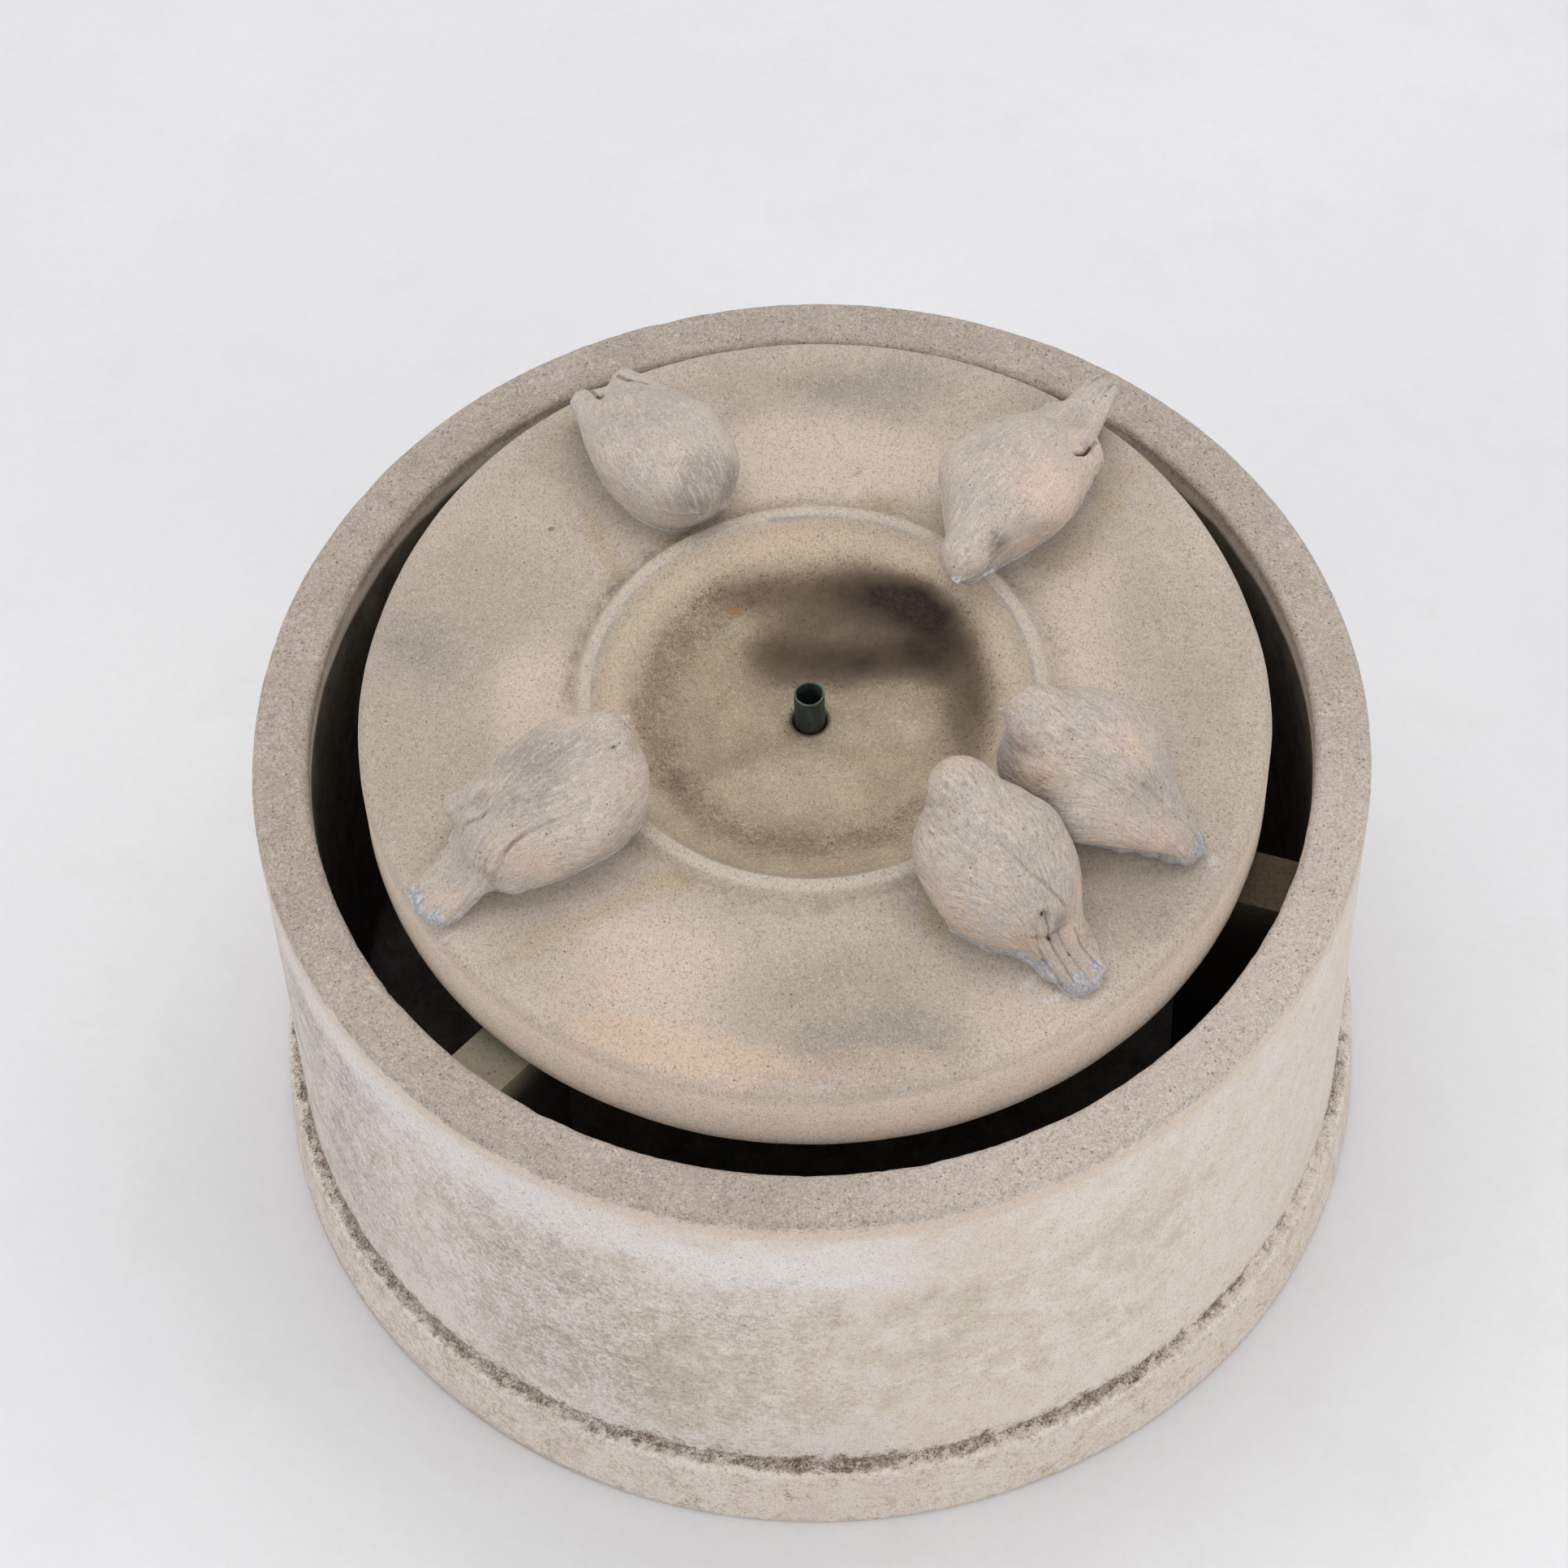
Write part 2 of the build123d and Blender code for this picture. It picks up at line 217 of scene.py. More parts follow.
# ------------------------------------------------------------------ material helper
class Mat:
    def __init__(self, name):
        self.mat = bpy.data.materials.new(name)
        self.mat.use_nodes = True
        self.nt = self.mat.node_tree
        self.nt.nodes.clear()
        self.out = self.node("ShaderNodeOutputMaterial")
        self.bsdf = self.node("ShaderNodeBsdfPrincipled")
        self.nt.links.new(self.bsdf.outputs[0], self.out.inputs[0])
        self.P = self.node("ShaderNodeTexCoord").outputs["Object"]

    def node(self, kind, **props):
        n = self.nt.nodes.new(kind)
        for k, v in props.items():
            setattr(n, k, v)
        return n

    def put(self, sock, value):
        if isinstance(value, bpy.types.NodeSocket):
            self.nt.links.new(value, sock)
        elif value is not None:
            sock.default_value = value
        return sock

    def sep(self, vec=None):
        n = self.node("ShaderNodeSeparateXYZ")
        self.put(n.inputs[0], vec or self.P)
        return n.outputs[0], n.outputs[1], n.outputs[2]

    def scaled(self, sx, sy, sz, vec=None, offset=(0, 0, 0)):
        n = self.node("ShaderNodeMapping")
        self.put(n.inputs["Vector"], vec or self.P)
        n.inputs["Scale"].default_value = (sx, sy, sz)
        n.inputs["Location"].default_value = offset
        return n.outputs[0]

    def noise(self, scale, detail=4.0, rough=0.55, vec=None, dist=0.0, color=False):
        n = self.node("ShaderNodeTexNoise")
        self.put(n.inputs["Vector"], vec or self.P)
        n.inputs["Scale"].default_value = scale
        n.inputs["Detail"].default_value = detail
        n.inputs["Roughness"].default_value = rough
        n.inputs["Distortion"].default_value = dist
        return n.outputs["Color"] if color else n.outputs["Fac"]

    def vor(self, scale, vec=None, feature="F1", rand=1.0):
        n = self.node("ShaderNodeTexVoronoi", feature=feature)
        self.put(n.inputs["Vector"], vec or self.P)
        n.inputs["Scale"].default_value = scale
        n.inputs["Randomness"].default_value = rand
        return n.outputs["Distance"], n.outputs["Color"]

    def rng(self, v, a, b, lo=0.0, hi=1.0, smooth=False):
        n = self.node("ShaderNodeMapRange")
        if smooth:
            n.interpolation_type = "SMOOTHSTEP"
        self.put(n.inputs[0], v)
        for i, x in enumerate((a, b, lo, hi)):
            n.inputs[i + 1].default_value = x
        n.clamp = True
        return n.outputs[0]

    def math(self, op, a, b=None, clamp=False):
        n = self.node("ShaderNodeMath", operation=op, use_clamp=clamp)
        self.put(n.inputs[0], a)
        if b is not None:
            self.put(n.inputs[1], b)
        return n.outputs[0]

    def mul(self, *xs):
        o = xs[0]
        for x in xs[1:]:
            o = self.math("MULTIPLY", o, x)
        return o

    def add(self, *xs):
        o = xs[0]
        for x in xs[1:]:
            o = self.math("ADD", o, x)
        return o

    def mix(self, fac, a, b, blend="MIX"):
        n = self.node("ShaderNodeMix", data_type="RGBA", blend_type=blend)
        n.clamp_factor = True
        self.put(n.inputs[0], fac)
        self.put(n.inputs[6], a)
        self.put(n.inputs[7], b)
        return n.outputs[2]

    def ramp(self, fac, stops, interp="LINEAR"):
        n = self.node("ShaderNodeValToRGB")
        self.put(n.inputs[0], fac)
        el = n.color_ramp.elements
        n.color_ramp.interpolation = interp
        while len(el) < len(stops):
            el.new(0.5)
        for e, (pos, col) in zip(el, stops):
            e.position = pos
            e.color = col
        return n.outputs[0]

    def attr(self, name):
        n = self.node("ShaderNodeAttribute")
        n.attribute_name = name
        s = self.node("ShaderNodeSeparateColor")
        self.put(s.inputs[0], n.outputs["Color"])
        return s.outputs[0], s.outputs[1], s.outputs[2], n.outputs["Alpha"]

    def bump(self, height, dist, strength=1.0, normal=None):
        n = self.node("ShaderNodeBump")
        n.inputs["Strength"].default_value = strength
        n.inputs["Distance"].default_value = dist
        self.put(n.inputs["Height"], height)
        if normal is not None:
            self.put(n.inputs["Normal"], normal)
        return n.outputs[0]

    def ragged(self):
        """Object position shaken by a fine noise, so that specks and grains lose their round shape."""
        if not hasattr(self, "_rag"):
            n = self.node("ShaderNodeVectorMath", operation="MULTIPLY_ADD")
            self.put(n.inputs[0], self.noise(900.0, 3.0, 0.7, color=True))
            n.inputs[1].default_value = (0.0026, 0.0026, 0.0026)
            self.put(n.inputs[2], self.P)
            self._rag = n.outputs[0]
        return self._rag

    def specks(self, scale, size, share, vec=None):
        """Small irregular specks: 1 inside a speck."""
        d, c = self.vor(scale, vec or self.ragged())
        s = self.node("ShaderNodeSeparateColor")
        self.put(s.inputs[0], c)
        pick = self.rng(s.outputs[0], 1 - share - 0.001, 1 - share)
        return self.mul(self.rng(d, size, size * 0.6), pick), s.outputs[1]

    def finish(self, color, rough=0.9, normal=None, metallic=0.0, spec=None):
        self.put(self.bsdf.inputs["Base Color"], color)
        self.put(self.bsdf.inputs["Roughness"], rough)
        self.put(self.bsdf.inputs["Metallic"], metallic)
        if spec is not None:
            self.bsdf.inputs["Specular IOR Level"].default_value = spec
        if normal is not None:
            self.put(self.bsdf.inputs["Normal"], normal)
        return self.mat


# ------------------------------------------------------------------ stone materials
def grain(m, col, amount=1.0, scale=1.0):
    """Sand-grain colour variation laid over any cast-stone colour."""
    n1 = m.noise(1100 * scale, 2.0, 0.6)
    col = m.mix(m.rng(n1, 0.40, 0.68, 0.0, 0.42 * amount), col, m.mix(1.0, col, lin(196, 184, 172), "MULTIPLY"))
    d, c = m.vor(900 * scale, m.ragged())
    s = m.node("ShaderNodeSeparateColor")
    m.put(s.inputs[0], c)
    col = m.mix(m.rng(s.outputs[0], 0.70, 1.0, 0, 0.26 * amount), col, lin(222, 212, 202))
    col = m.mix(m.rng(s.outputs[1], 0.66, 1.0, 0, 0.50 * amount), col, lin(114, 104, 96))
    n2 = m.noise(420 * scale, 4.0, 0.7)
    col = m.mix(m.rng(n2, 0.54, 0.72, 0.0, 0.34 * amount), col, m.mix(1.0, col, lin(178, 166, 154), "MULTIPLY"))
    return col


def centred(m, n, k):
    return m.mul(m.math("SUBTRACT", n, 0.5), k)


def mat_basin():
    m = Mat("basin_cast_stone")
    x, y, z = m.sep()
    rim, ledge, inner, bloom = m.attr("zone")
    green, lilac, dark, warm = m.attr("stain")
    mott, peachline, light, low = m.attr("tint")
    big = m.noise(8.0, 5, 0.6)
    mid = m.noise(34.0, 6, 0.68)
    mid2 = m.noise(52.0, 6, 0.72, vec=m.scaled(1, 1, 0.8, offset=(3.1, 1.7, 0.4)))
    fine = m.noise(210.0, 6, 0.78)
    crumb = m.noise(620.0, 4, 0.75)
    # outer wall: cream with peach clouds
    col = m.mix(m.rng(big, 0.34, 0.66), lin(223, 215, 207), lin(216, 206, 196))
    col = m.mix(m.mul(m.rng(m.add(mid, centred(m, fine, 0.5)), 0.46, 0.62), 0.55), col, lin(230, 222, 214))
    col = m.mix(m.mul(warm, m.rng(m.add(mid2, centred(m, fine, 0.5)), 0.38, 0.62), 0.75), col, lin(216, 198, 180))
    # bluish white bloom below the rim
    bl = m.rng(m.add(m.mul(bloom, 1.0), centred(m, mid, 1.2), centred(m, mid2, 0.8), centred(m, fine, 0.9)), 0.30, 1.10)
    col = m.mix(m.mul(bl, 0.85), col, lin(229, 227, 226))
    # pale lilac film and crumbly grey-green growth
    li = m.rng(m.add(lilac, centred(m, mid, 1.6), centred(m, fine, 1.4)), 0.40, 1.0)
    col = m.mix(m.mul(li, 0.52), col, lin(210, 204, 201))
    gr = m.rng(m.add(green, centred(m, mid2, 1.5), centred(m, fine, 1.1)), 0.42, 1.02)
    col = m.mix(m.mul(gr, 0.85), col, lin(193, 183, 165))
    mo = m.rng(m.add(mott, centred(m, mid2, 2.0), centred(m, fine, 2.8), centred(m, crumb, 1.4)), 0.42, 1.15)
    col = m.mix(m.mul(mo, 0.74), col, lin(170, 160, 148))
    wh = m.rng(m.add(mott, centred(m, mid, -1.6), centred(m, fine, -2.6), centred(m, crumb, -1.6)), 0.80, 1.30)
    col = m.mix(m.mul(wh, 0.6), col, lin(222, 216, 210))
    mo2 = m.rng(m.add(mott, centred(m, mid, 1.6), centred(m, fine, 2.6), centred(m, crumb, 1.6)), 0.95, 1.60)
    col = m.mix(m.mul(mo2, 0.5), col, lin(134, 123, 114))
    hole, _ = m.specks(170, 0.20, 0.06)
    col = m.mix(m.mul(hole, 0.45), col, lin(132, 120, 108))
    hole2, _ = m.specks(520, 0.34, 0.10)
    col = m.mix(m.mul(hole2, 0.30), col, lin(128, 118, 110))
    # peach line where the arris turns into the rim
    pl = m.rng(m.add(peachline, centred(m, mid, 0.7), centred(m, fine, 0.5)), 0.30, 0.72)
    col = m.mix(m.mul(pl, 0.75), col, lin(212, 195, 178))
    # rim: fine exposed aggregate
    rimbase = m.mix(m.rng(big, 0.35, 0.65), lin(168, 155, 143), lin(181, 168, 157))
    rimbase = m.mix(m.mul(m.rng(m.add(mid, centred(m, fine, 0.8)), 0.42, 0.66), 0.6), rimbase, lin(159, 146, 133))
    rimbase = m.mix(m.mul(m.rng(m.add(mid2, centred(m, fine, 0.8)), 0.48, 0.70), 0.5), rimbase, lin(192, 180, 169))
    rimbase = m.mix(m.mul(light, 0.85), rimbase, m.mix(m.rng(mid, 0.36, 0.64), lin(196, 184, 174), lin(213, 201, 191)))
    d1, c1 = m.vor(760, m.ragged())
    s1 = m.node("ShaderNodeSeparateColor")
    m.put(s1.inputs[0], c1)
    agg = m.ramp(s1.outputs[0], [(0.0, lin(128, 116, 106)), (0.16, lin(164, 150, 138)), (0.44, lin(184, 170, 158)),
                                 (0.70, lin(204, 193, 182)), (0.86, lin(172, 170, 176)), (0.94, lin(222, 214, 206))],
                 "CONSTANT")
    rimcol = m.mix(0.32, rimbase, agg)
    rimcol = m.mix(m.mul(m.rng(m.add(fine, centred(m, crumb, 1.0)), 0.56, 0.74), 0.62), rimcol, lin(124, 112, 102))
    sp, _ = m.specks(330, 0.34, 0.12)
    rimcol = m.mix(m.mul(sp, 0.7), rimcol, lin(106, 94, 84))
    sp2, tone2 = m.specks(250, 0.30, 0.07)
    rimcol = m.mix(m.mul(sp2, 0.62), rimcol, m.ramp(tone2, [(0.0, lin(220, 208, 196)), (0.6, lin(150, 152, 162)),
                                                            (0.9, lin(196, 150, 120))], "CONSTANT"))
    edge = m.rng(m.add(rim, centred(m, mid, 0.9), centred(m, fine, 1.5), centred(m, crumb, 0.9)), 0.25, 0.95, 0, 1, True)
    col = m.mix(edge, col, rimcol)
    # ledge dirt: granular brown where the wall meets the plinth
    dirt = m.rng(m.add(ledge, centred(m, fine, 2.0), centred(m, mid, 1.4), centred(m, crumb, 1.8)), 0.36, 1.05)
    col = m.mix(m.mul(dirt, 0.78), col, lin(126, 109, 97))
    dirt2 = m.rng(m.add(ledge, centred(m, crumb, 3.0), centred(m, mid2, 1.8), centred(m, fine, 2.2)), 0.86, 1.32)
    col = m.mix(m.mul(dirt2, 0.80), col, lin(74, 60, 52))
    lo = m.rng(m.add(low, centred(m, mid, 1.0), centred(m, fine, 1.2)), 0.45, 1.0)
    col = m.mix(m.mul(lo, 0.65), col, lin(160, 144, 128))
    pk = m.mul(m.rng(z, 0.068, 0.064), m.rng(m.add(crumb, centred(m, fine, 1.6), centred(m, mid2, 1.0)), 0.62, 0.80))
    col = m.mix(m.mul(pk, 0.62), col, lin(116, 100, 90))
    pl2 = m.mul(m.rng(z, 0.068, 0.060), m.rng(m.add(mid, centred(m, fine, 0.8)), 0.48, 0.64))
    col = m.mix(m.mul(pl2, 0.75), col, lin(204, 190, 184))
    # dark damp stains
    col = m.mix(m.mul(dark, m.rng(mid, 0.3, 0.6, 0.3, 1.0)), col, lin(136, 126, 116))
    col = grain(m, col, 0.62)
    # inside of the reservoir: black-green water film, painted darker still as painted shade for the deep gap under the
    # top
    inner_film_and_shade_col = m.mix(m.rng(mid, 0.35, 0.65), lin(70, 68, 60), lin(106, 100, 88))
    inner_film_and_shade_col = m.mix(m.mul(m.rng(fine, 0.5, 0.75), 0.4), inner_film_and_shade_col, lin(134, 126, 110))
    ifac = m.rng(m.add(inner, centred(m, mid, 0.35)), 0.30, 0.62, 0, 1, True)
    col = m.mix(ifac, col, inner_film_and_shade_col)
    h1 = m.noise(520, 4, 0.7)
    h2 = m.noise(150, 4, 0.6)
    dr = m.rng(d1, 0.0, 0.6, 1, 0)
    height = m.add(m.mul(h1, 0.75), m.mul(h2, 0.7), m.mul(dr, edge, 0.5), m.mul(hole, -1.4), m.mul(sp, edge, -1.0))
    nrm = m.bump(height, 0.0012, 0.6)
    return m.finish(col, m.rng(mid, 0.3, 0.7, 0.82, 0.95), nrm, spec=0.2)


def mat_top():
    m = Mat("top_cast_stone")
    grey_stain_and_bird_shadow, cream, brown, orange = m.attr("stain")
    brown = m.mul(brown, 3.0)
    bead, bowl, under, dirt = m.attr("zone")
    scum, yellow, lip, spot = m.attr("tint")
    big = m.noise(11.0, 5, 0.6)
    mid = m.noise(45.0, 6, 0.68)
    mid2 = m.noise(70.0, 6, 0.72, vec=m.scaled(1, 1, 1, offset=(2.2, 5.1, 0.3)))
    fine = m.noise(230.0, 6, 0.78)
    crumb = m.noise(640.0, 4, 0.75)
    col = m.mix(m.rng(big, 0.34, 0.66), lin(179, 167, 154), lin(190, 177, 164))
    col = m.mix(m.mul(m.rng(m.add(mid, centred(m, fine, 0.8)), 0.44, 0.64), 0.4), col, lin(172, 160, 148))
    cr = m.rng(m.add(cream, centred(m, mid, 0.7), centred(m, fine, 0.5)), 0.12, 0.85)
    col = m.mix(m.mul(cr, 0.95), col, lin(203, 188, 173))
    # grey patches: stains, and beside the birds painted shadows
    gy = m.rng(m.add(grey_stain_and_bird_shadow, centred(m, mid, 0.5), centred(m, fine, 0.5)), 0.08, 0.95)
    col = m.mix(m.mul(gy, 0.80), col, lin(157, 147, 136))
    gy2 = m.rng(m.add(grey_stain_and_bird_shadow, centred(m, mid2, 1.2), centred(m, crumb, 1.6)), 0.80, 1.4)
    col = m.mix(m.mul(gy2, 0.5), col, lin(118, 110, 102))
    orr = m.rng(m.add(orange, centred(m, mid2, 1.0), centred(m, fine, 0.6)), 0.16, 0.85)
    col = m.mix(m.mul(orr, 0.75), col, lin(214, 184, 156))
    yl = m.rng(m.add(yellow, centred(m, mid, 0.7), centred(m, fine, 0.6)), 0.20, 0.95)
    col = m.mix(m.mul(yl, 0.65), col, lin(170, 156, 124))
    # bead: slightly paler, speckled; the thin paler line on its inner arris is a painted highlight
    col = m.mix(m.mul(bead, m.rng(mid, 0.34, 0.62, 0.25, 0.75)), col, lin(194, 184, 171))
    # bowl lining: lime cream turning olive-brown, with black-brown staining
    bw = m.mix(m.rng(m.add(m.mul(big, 0.4), m.mul(mid, 0.6), centred(m, fine, 0.4)), 0.38, 0.62), lin(152, 138, 116), lin(172, 157, 135))
    bw = m.mix(m.mul(m.rng(m.add(cream, centred(m, mid, 0.5), centred(m, fine, 0.4)), 0.1, 0.9), 0.9), bw, lin(192, 177, 157))
    col = m.mix(bowl, col, bw)
    sp4, _ = m.specks(330, 0.44, 0.40)
    col = m.mix(m.mul(sp4, m.rng(m.add(dirt, centred(m, mid2, 0.8)), 0.30, 0.9), 0.55), col, lin(104, 84, 64))
    sp5, _ = m.specks(210, 0.32, 0.14)
    col = m.mix(m.mul(sp5, m.rng(m.add(dirt, centred(m, mid, 0.8)), 0.40, 0.95), 0.75), col, lin(66, 50, 38))
    dd = m.rng(m.add(dirt, centred(m, fine, 2.4), centred(m, mid2, 1.4), centred(m, crumb, 2.0)), 0.50, 1.15)
    col = m.mix(m.mul(dd, 0.60), col, lin(110, 94, 76))
    # lime crust beside the tails
    sc = m.rng(m.add(scum, centred(m, fine, 1.1), centred(m, mid2, 0.9)), 0.40, 0.80)
    col = m.mix(m.mul(sc, 0.75), col, lin(206, 203, 202))
    spt = m.rng(m.add(spot, centred(m, fine, 1.0)), 0.45, 0.75)
    col = m.mix(m.mul(spt, 0.75), col, lin(96, 80, 66))
    # fine dark and light specks everywhere
    d0, r0 = m.specks(420, 0.34, 0.14)
    col = m.mix(m.mul(d0, 0.42), col, lin(100, 90, 80))
    d1, r1 = m.specks(170, 0.15, 0.07)
    col = m.mix(m.mul(d1, 0.75), col, lin(78, 66, 56))
    d2, r2 = m.specks(330, 0.22, 0.025)
    col = m.mix(m.mul(d2, 0.5), col, lin(224, 216, 208))
    # painted light: the outer side of the top faces down and is lightened to look as bright as a well-lit face
    sd = m.mul(lip, m.rng(m.add(mid, centred(m, fine, 0.6)), 0.30, 0.70, 0.75, 1.0))
    col = m.mix(sd, col, lin(232, 214, 197))
    col = grain(m, col, 0.95)
    stn = m.add(brown, centred(m, fine, 0.42), centred(m, mid, 0.30), centred(m, crumb, 0.34))
    f1 = m.rng(stn, 0.04, 1.15)
    f2 = m.rng(m.add(brown, centred(m, fine, 0.70), centred(m, mid, 0.65), centred(m, mid2, 0.6), centred(m, crumb, 0.4)), 0.36, 2.15)
    col = m.mix(m.mul(f1, 0.76), col, lin(106, 89, 73))
    col = m.mix(f2, col, m.mix(m.rng(m.add(fine, centred(m, crumb, 0.8)), 0.36, 0.66), lin(36, 27, 22), lin(58, 46, 38)))
    # fine black-brown crumbs where the stain thins out
    cb = m.mul(m.rng(stn, 0.10, 0.50), m.rng(m.add(crumb, centred(m, fine, 1.2)), 0.60, 0.74))
    col = m.mix(m.mul(cb, 0.7), col, lin(66, 52, 42))
    bead_inner_edge_shade, bead_groove_shade, rust, _e = m.attr("line")
    # painted shade: a thin grey line along the bead's inner edge and a brown line in the groove at its outer foot
    col = m.mix(m.mul(bead_inner_edge_shade, m.rng(m.add(mid, centred(m, fine, 1.0)), 0.34, 0.62, 0.15, 0.75)), col, lin(140, 137, 134))
    col = m.mix(m.mul(bead_groove_shade, m.rng(m.add(mid2, centred(m, fine, 1.2)), 0.36, 0.66, 0.05, 0.70)), col, lin(112, 98, 84))
    rs = m.rng(m.add(rust, centred(m, fine, 1.2)), 0.40, 0.75)
    col = m.mix(m.mul(rs, m.rng(crumb, 0.35, 0.6, 0.3, 0.9)), col, lin(138, 92, 66))
    # painted shade: the underside of the top and the pipe hole are painted dark
    underside_shade_col = m.mix(m.rng(mid, 0.35, 0.65), lin(62, 56, 48), lin(96, 88, 76))
    col = m.mix(under, col, underside_shade_col)
    h1 = m.noise(620, 4, 0.7)
    h2 = m.noise(180, 4, 0.6)
    height = m.add(m.mul(h1, 0.8), m.mul(h2, 0.6), m.mul(d1, -1.2), m.mul(d0, -0.5))
    nrm = m.bump(height, 0.0010, 0.55)
    return m.finish(col, m.rng(mid, 0.3, 0.7, 0.80, 0.94), nrm, spec=0.2)


def mat_bird():
    m = Mat("bird_cast_stone")
    peach_and_painted_light, lime, crease_shade, dark = m.attr("tone")
    crack_shade, foot, e1, e2 = m.attr("mark")
    fl = m.node("ShaderNodeAttribute")
    fl.attribute_name = "flow"
    flow = fl.outputs["Vector"]
    big = m.noise(26.0, 5, 0.6)
    mid = m.noise(90.0, 6, 0.70)
    fine = m.noise(330.0, 5, 0.75)
    st1 = m.noise(1.0, 4, 0.65, vec=m.scaled(84, 640, 40, vec=flow), dist=0.5)
    st2 = m.noise(1.0, 4, 0.65, vec=m.scaled(150, 1300, 40, vec=flow, offset=(3.0, 7.0, 1.0)), dist=0.4)
    col = m.mix(m.rng(big, 0.34, 0.66), lin(181, 170, 162), lin(193, 181, 172))
    col = m.mix(m.mul(m.rng(m.add(mid, centred(m, fine, 0.6)), 0.42, 0.64), 0.55), col, lin(204, 191, 181))
    col = m.mix(m.mul(m.rng(m.add(m.noise(60.0, 5, 0.7), centred(m, fine, 0.7)), 0.50, 0.72), 0.5), col, lin(166, 157, 152))
    hue = m.noise(38.0, 5, 0.68, vec=m.scaled(1, 1, 1, offset=(0.4, 1.9, 2.6)))
    hue2 = m.noise(52.0, 5, 0.70, vec=m.scaled(1, 1, 1, offset=(4.4, 0.9, 1.6)))
    col = m.mix(m.mul(m.rng(m.add(hue, centred(m, fine, 0.6)), 0.50, 0.70), 0.55), col, lin(212, 193, 176))
    col = m.mix(m.mul(m.rng(m.add(hue, centred(m, fine, 0.6)), 0.50, 0.30), 0.55), col, lin(180, 173, 170))
    col = m.mix(m.mul(m.rng(m.add(hue2, centred(m, fine, 0.8)), 0.52, 0.72), 0.45), col, lin(182, 178, 160))
    # peach tone, and on one bird a patch of painted light on a downward flank
    pch = m.rng(m.add(peach_and_painted_light, centred(m, mid, 1.2), centred(m, fine, 0.9), centred(m, st1, 0.9)), 0.12, 1.05)
    col = m.mix(m.mul(pch, 0.92), col, lin(216, 191, 169))
    # dark patches: darker stone; round the heads of two birds they are painted shade
    dk = m.rng(m.add(dark, centred(m, mid, 1.1), centred(m, fine, 1.2), centred(m, st1, 0.15)), 0.20, 0.95)
    col = m.mix(m.mul(dk, 0.78), col, lin(134, 125, 119))
    # feather lines
    l1 = m.rng(st1, 0.52, 0.66)
    col = m.mix(m.mul(l1, e1, m.rng(mid, 0.34, 0.60, 0.15, 0.80)), col, lin(134, 122, 112))
    l2 = m.rng(st2, 0.55, 0.68)
    col = m.mix(m.mul(l2, e1, m.rng(mid, 0.38, 0.64, 0.15, 0.80)), col, lin(122, 111, 102))
    l3 = m.rng(st1, 0.47, 0.36)
    col = m.mix(m.mul(l3, 0.40), col, lin(219, 208, 198))
    # painted shade in the modelled creases
    col = m.mix(m.mul(crease_shade, 0.62), col, lin(104, 94, 86))
    lf = m.rng(m.add(lime, centred(m, mid, 0.7), centred(m, fine, 0.7)), 0.40, 0.72)
    limecol = m.mix(m.rng(m.add(fine, centred(m, st1, 1.2), centred(m, mid, 0.8)), 0.36, 0.64), lin(152, 152, 160), lin(206, 208, 215))
    col = m.mix(m.mul(lf, 0.90), col, limecol)
    col = m.mix(m.mul(foot, m.rng(lime, 0.25, 0.6), m.rng(m.add(mid, centred(m, fine, 1.0)), 0.32, 0.6, 0.2, 0.95)), col, lin(224, 221, 218))
    # deeper painted shade where the creases run through the lime
    col = m.mix(m.mul(crease_shade, lf, 0.55), col, lin(92, 86, 84))
    d0, _ = m.specks(520, 0.36, 0.14)
    col = m.mix(m.mul(d0, 0.30), col, lin(112, 103, 97))
    d1, _ = m.specks(210, 0.17, 0.05)
    col = m.mix(m.mul(d1, 0.8), col, lin(74, 66, 62))
    col = grain(m, col, 0.72, 1.1)
    # painted shade: cracks and pits are painted near-black
    col = m.mix(m.mul(crack_shade, 0.9), col, lin(42, 36, 32))
    h1 = m.noise(700, 4, 0.7)
    h2 = m.noise(220, 3, 0.6)
    height = m.add(m.mul(h1, 0.8), m.mul(h2, 0.5), m.mul(st1, e1, -1.6), m.mul(st2, e1, -1.3), m.mul(d1, -1.5), m.mul(d0, -0.5))
    nrm = m.bump(height, 0.0011, 0.75)
    return m.finish(col, 0.9, nrm, spec=0.18)


def mat_block():
    m = Mat("block_concrete")
    big = m.noise(30.0, 5, 0.6)
    fine = m.noise(260.0, 5, 0.7)
    x, y, z = m.sep()
    # painted shade: the piers are darkened below their tops, where they go down into the gap
    pier_low_shade = m.rng(z, 0.390, 0.36, 0, 1)
    right = m.rng(x, 0.10, 0.20, 0, 1)
    col = m.mix(m.rng(big, 0.35, 0.65), lin(150, 140, 122), lin(166, 156, 137))
    col = m.mix(m.mul(m.rng(fine, 0.5, 0.7), 0.5), col, lin(104, 96, 82))
    # painted shade: the piers on the right are painted a darker brown
    col = m.mix(m.mul(right, 0.92), col, m.mix(m.rng(fine, 0.4, 0.6), lin(64, 52, 40), lin(82, 68, 54)))
    col = m.mix(m.mul(pier_low_shade, 0.9), col, lin(50, 45, 37))
    d, _ = m.specks(260, 0.3, 0.2)
    col = m.mix(m.mul(d, 0.5), col, lin(66, 58, 48))
    return m.finish(col, 0.92, m.bump(m.add(fine, m.mul(d, -0.8)), 0.0012, 0.6), spec=0.2)


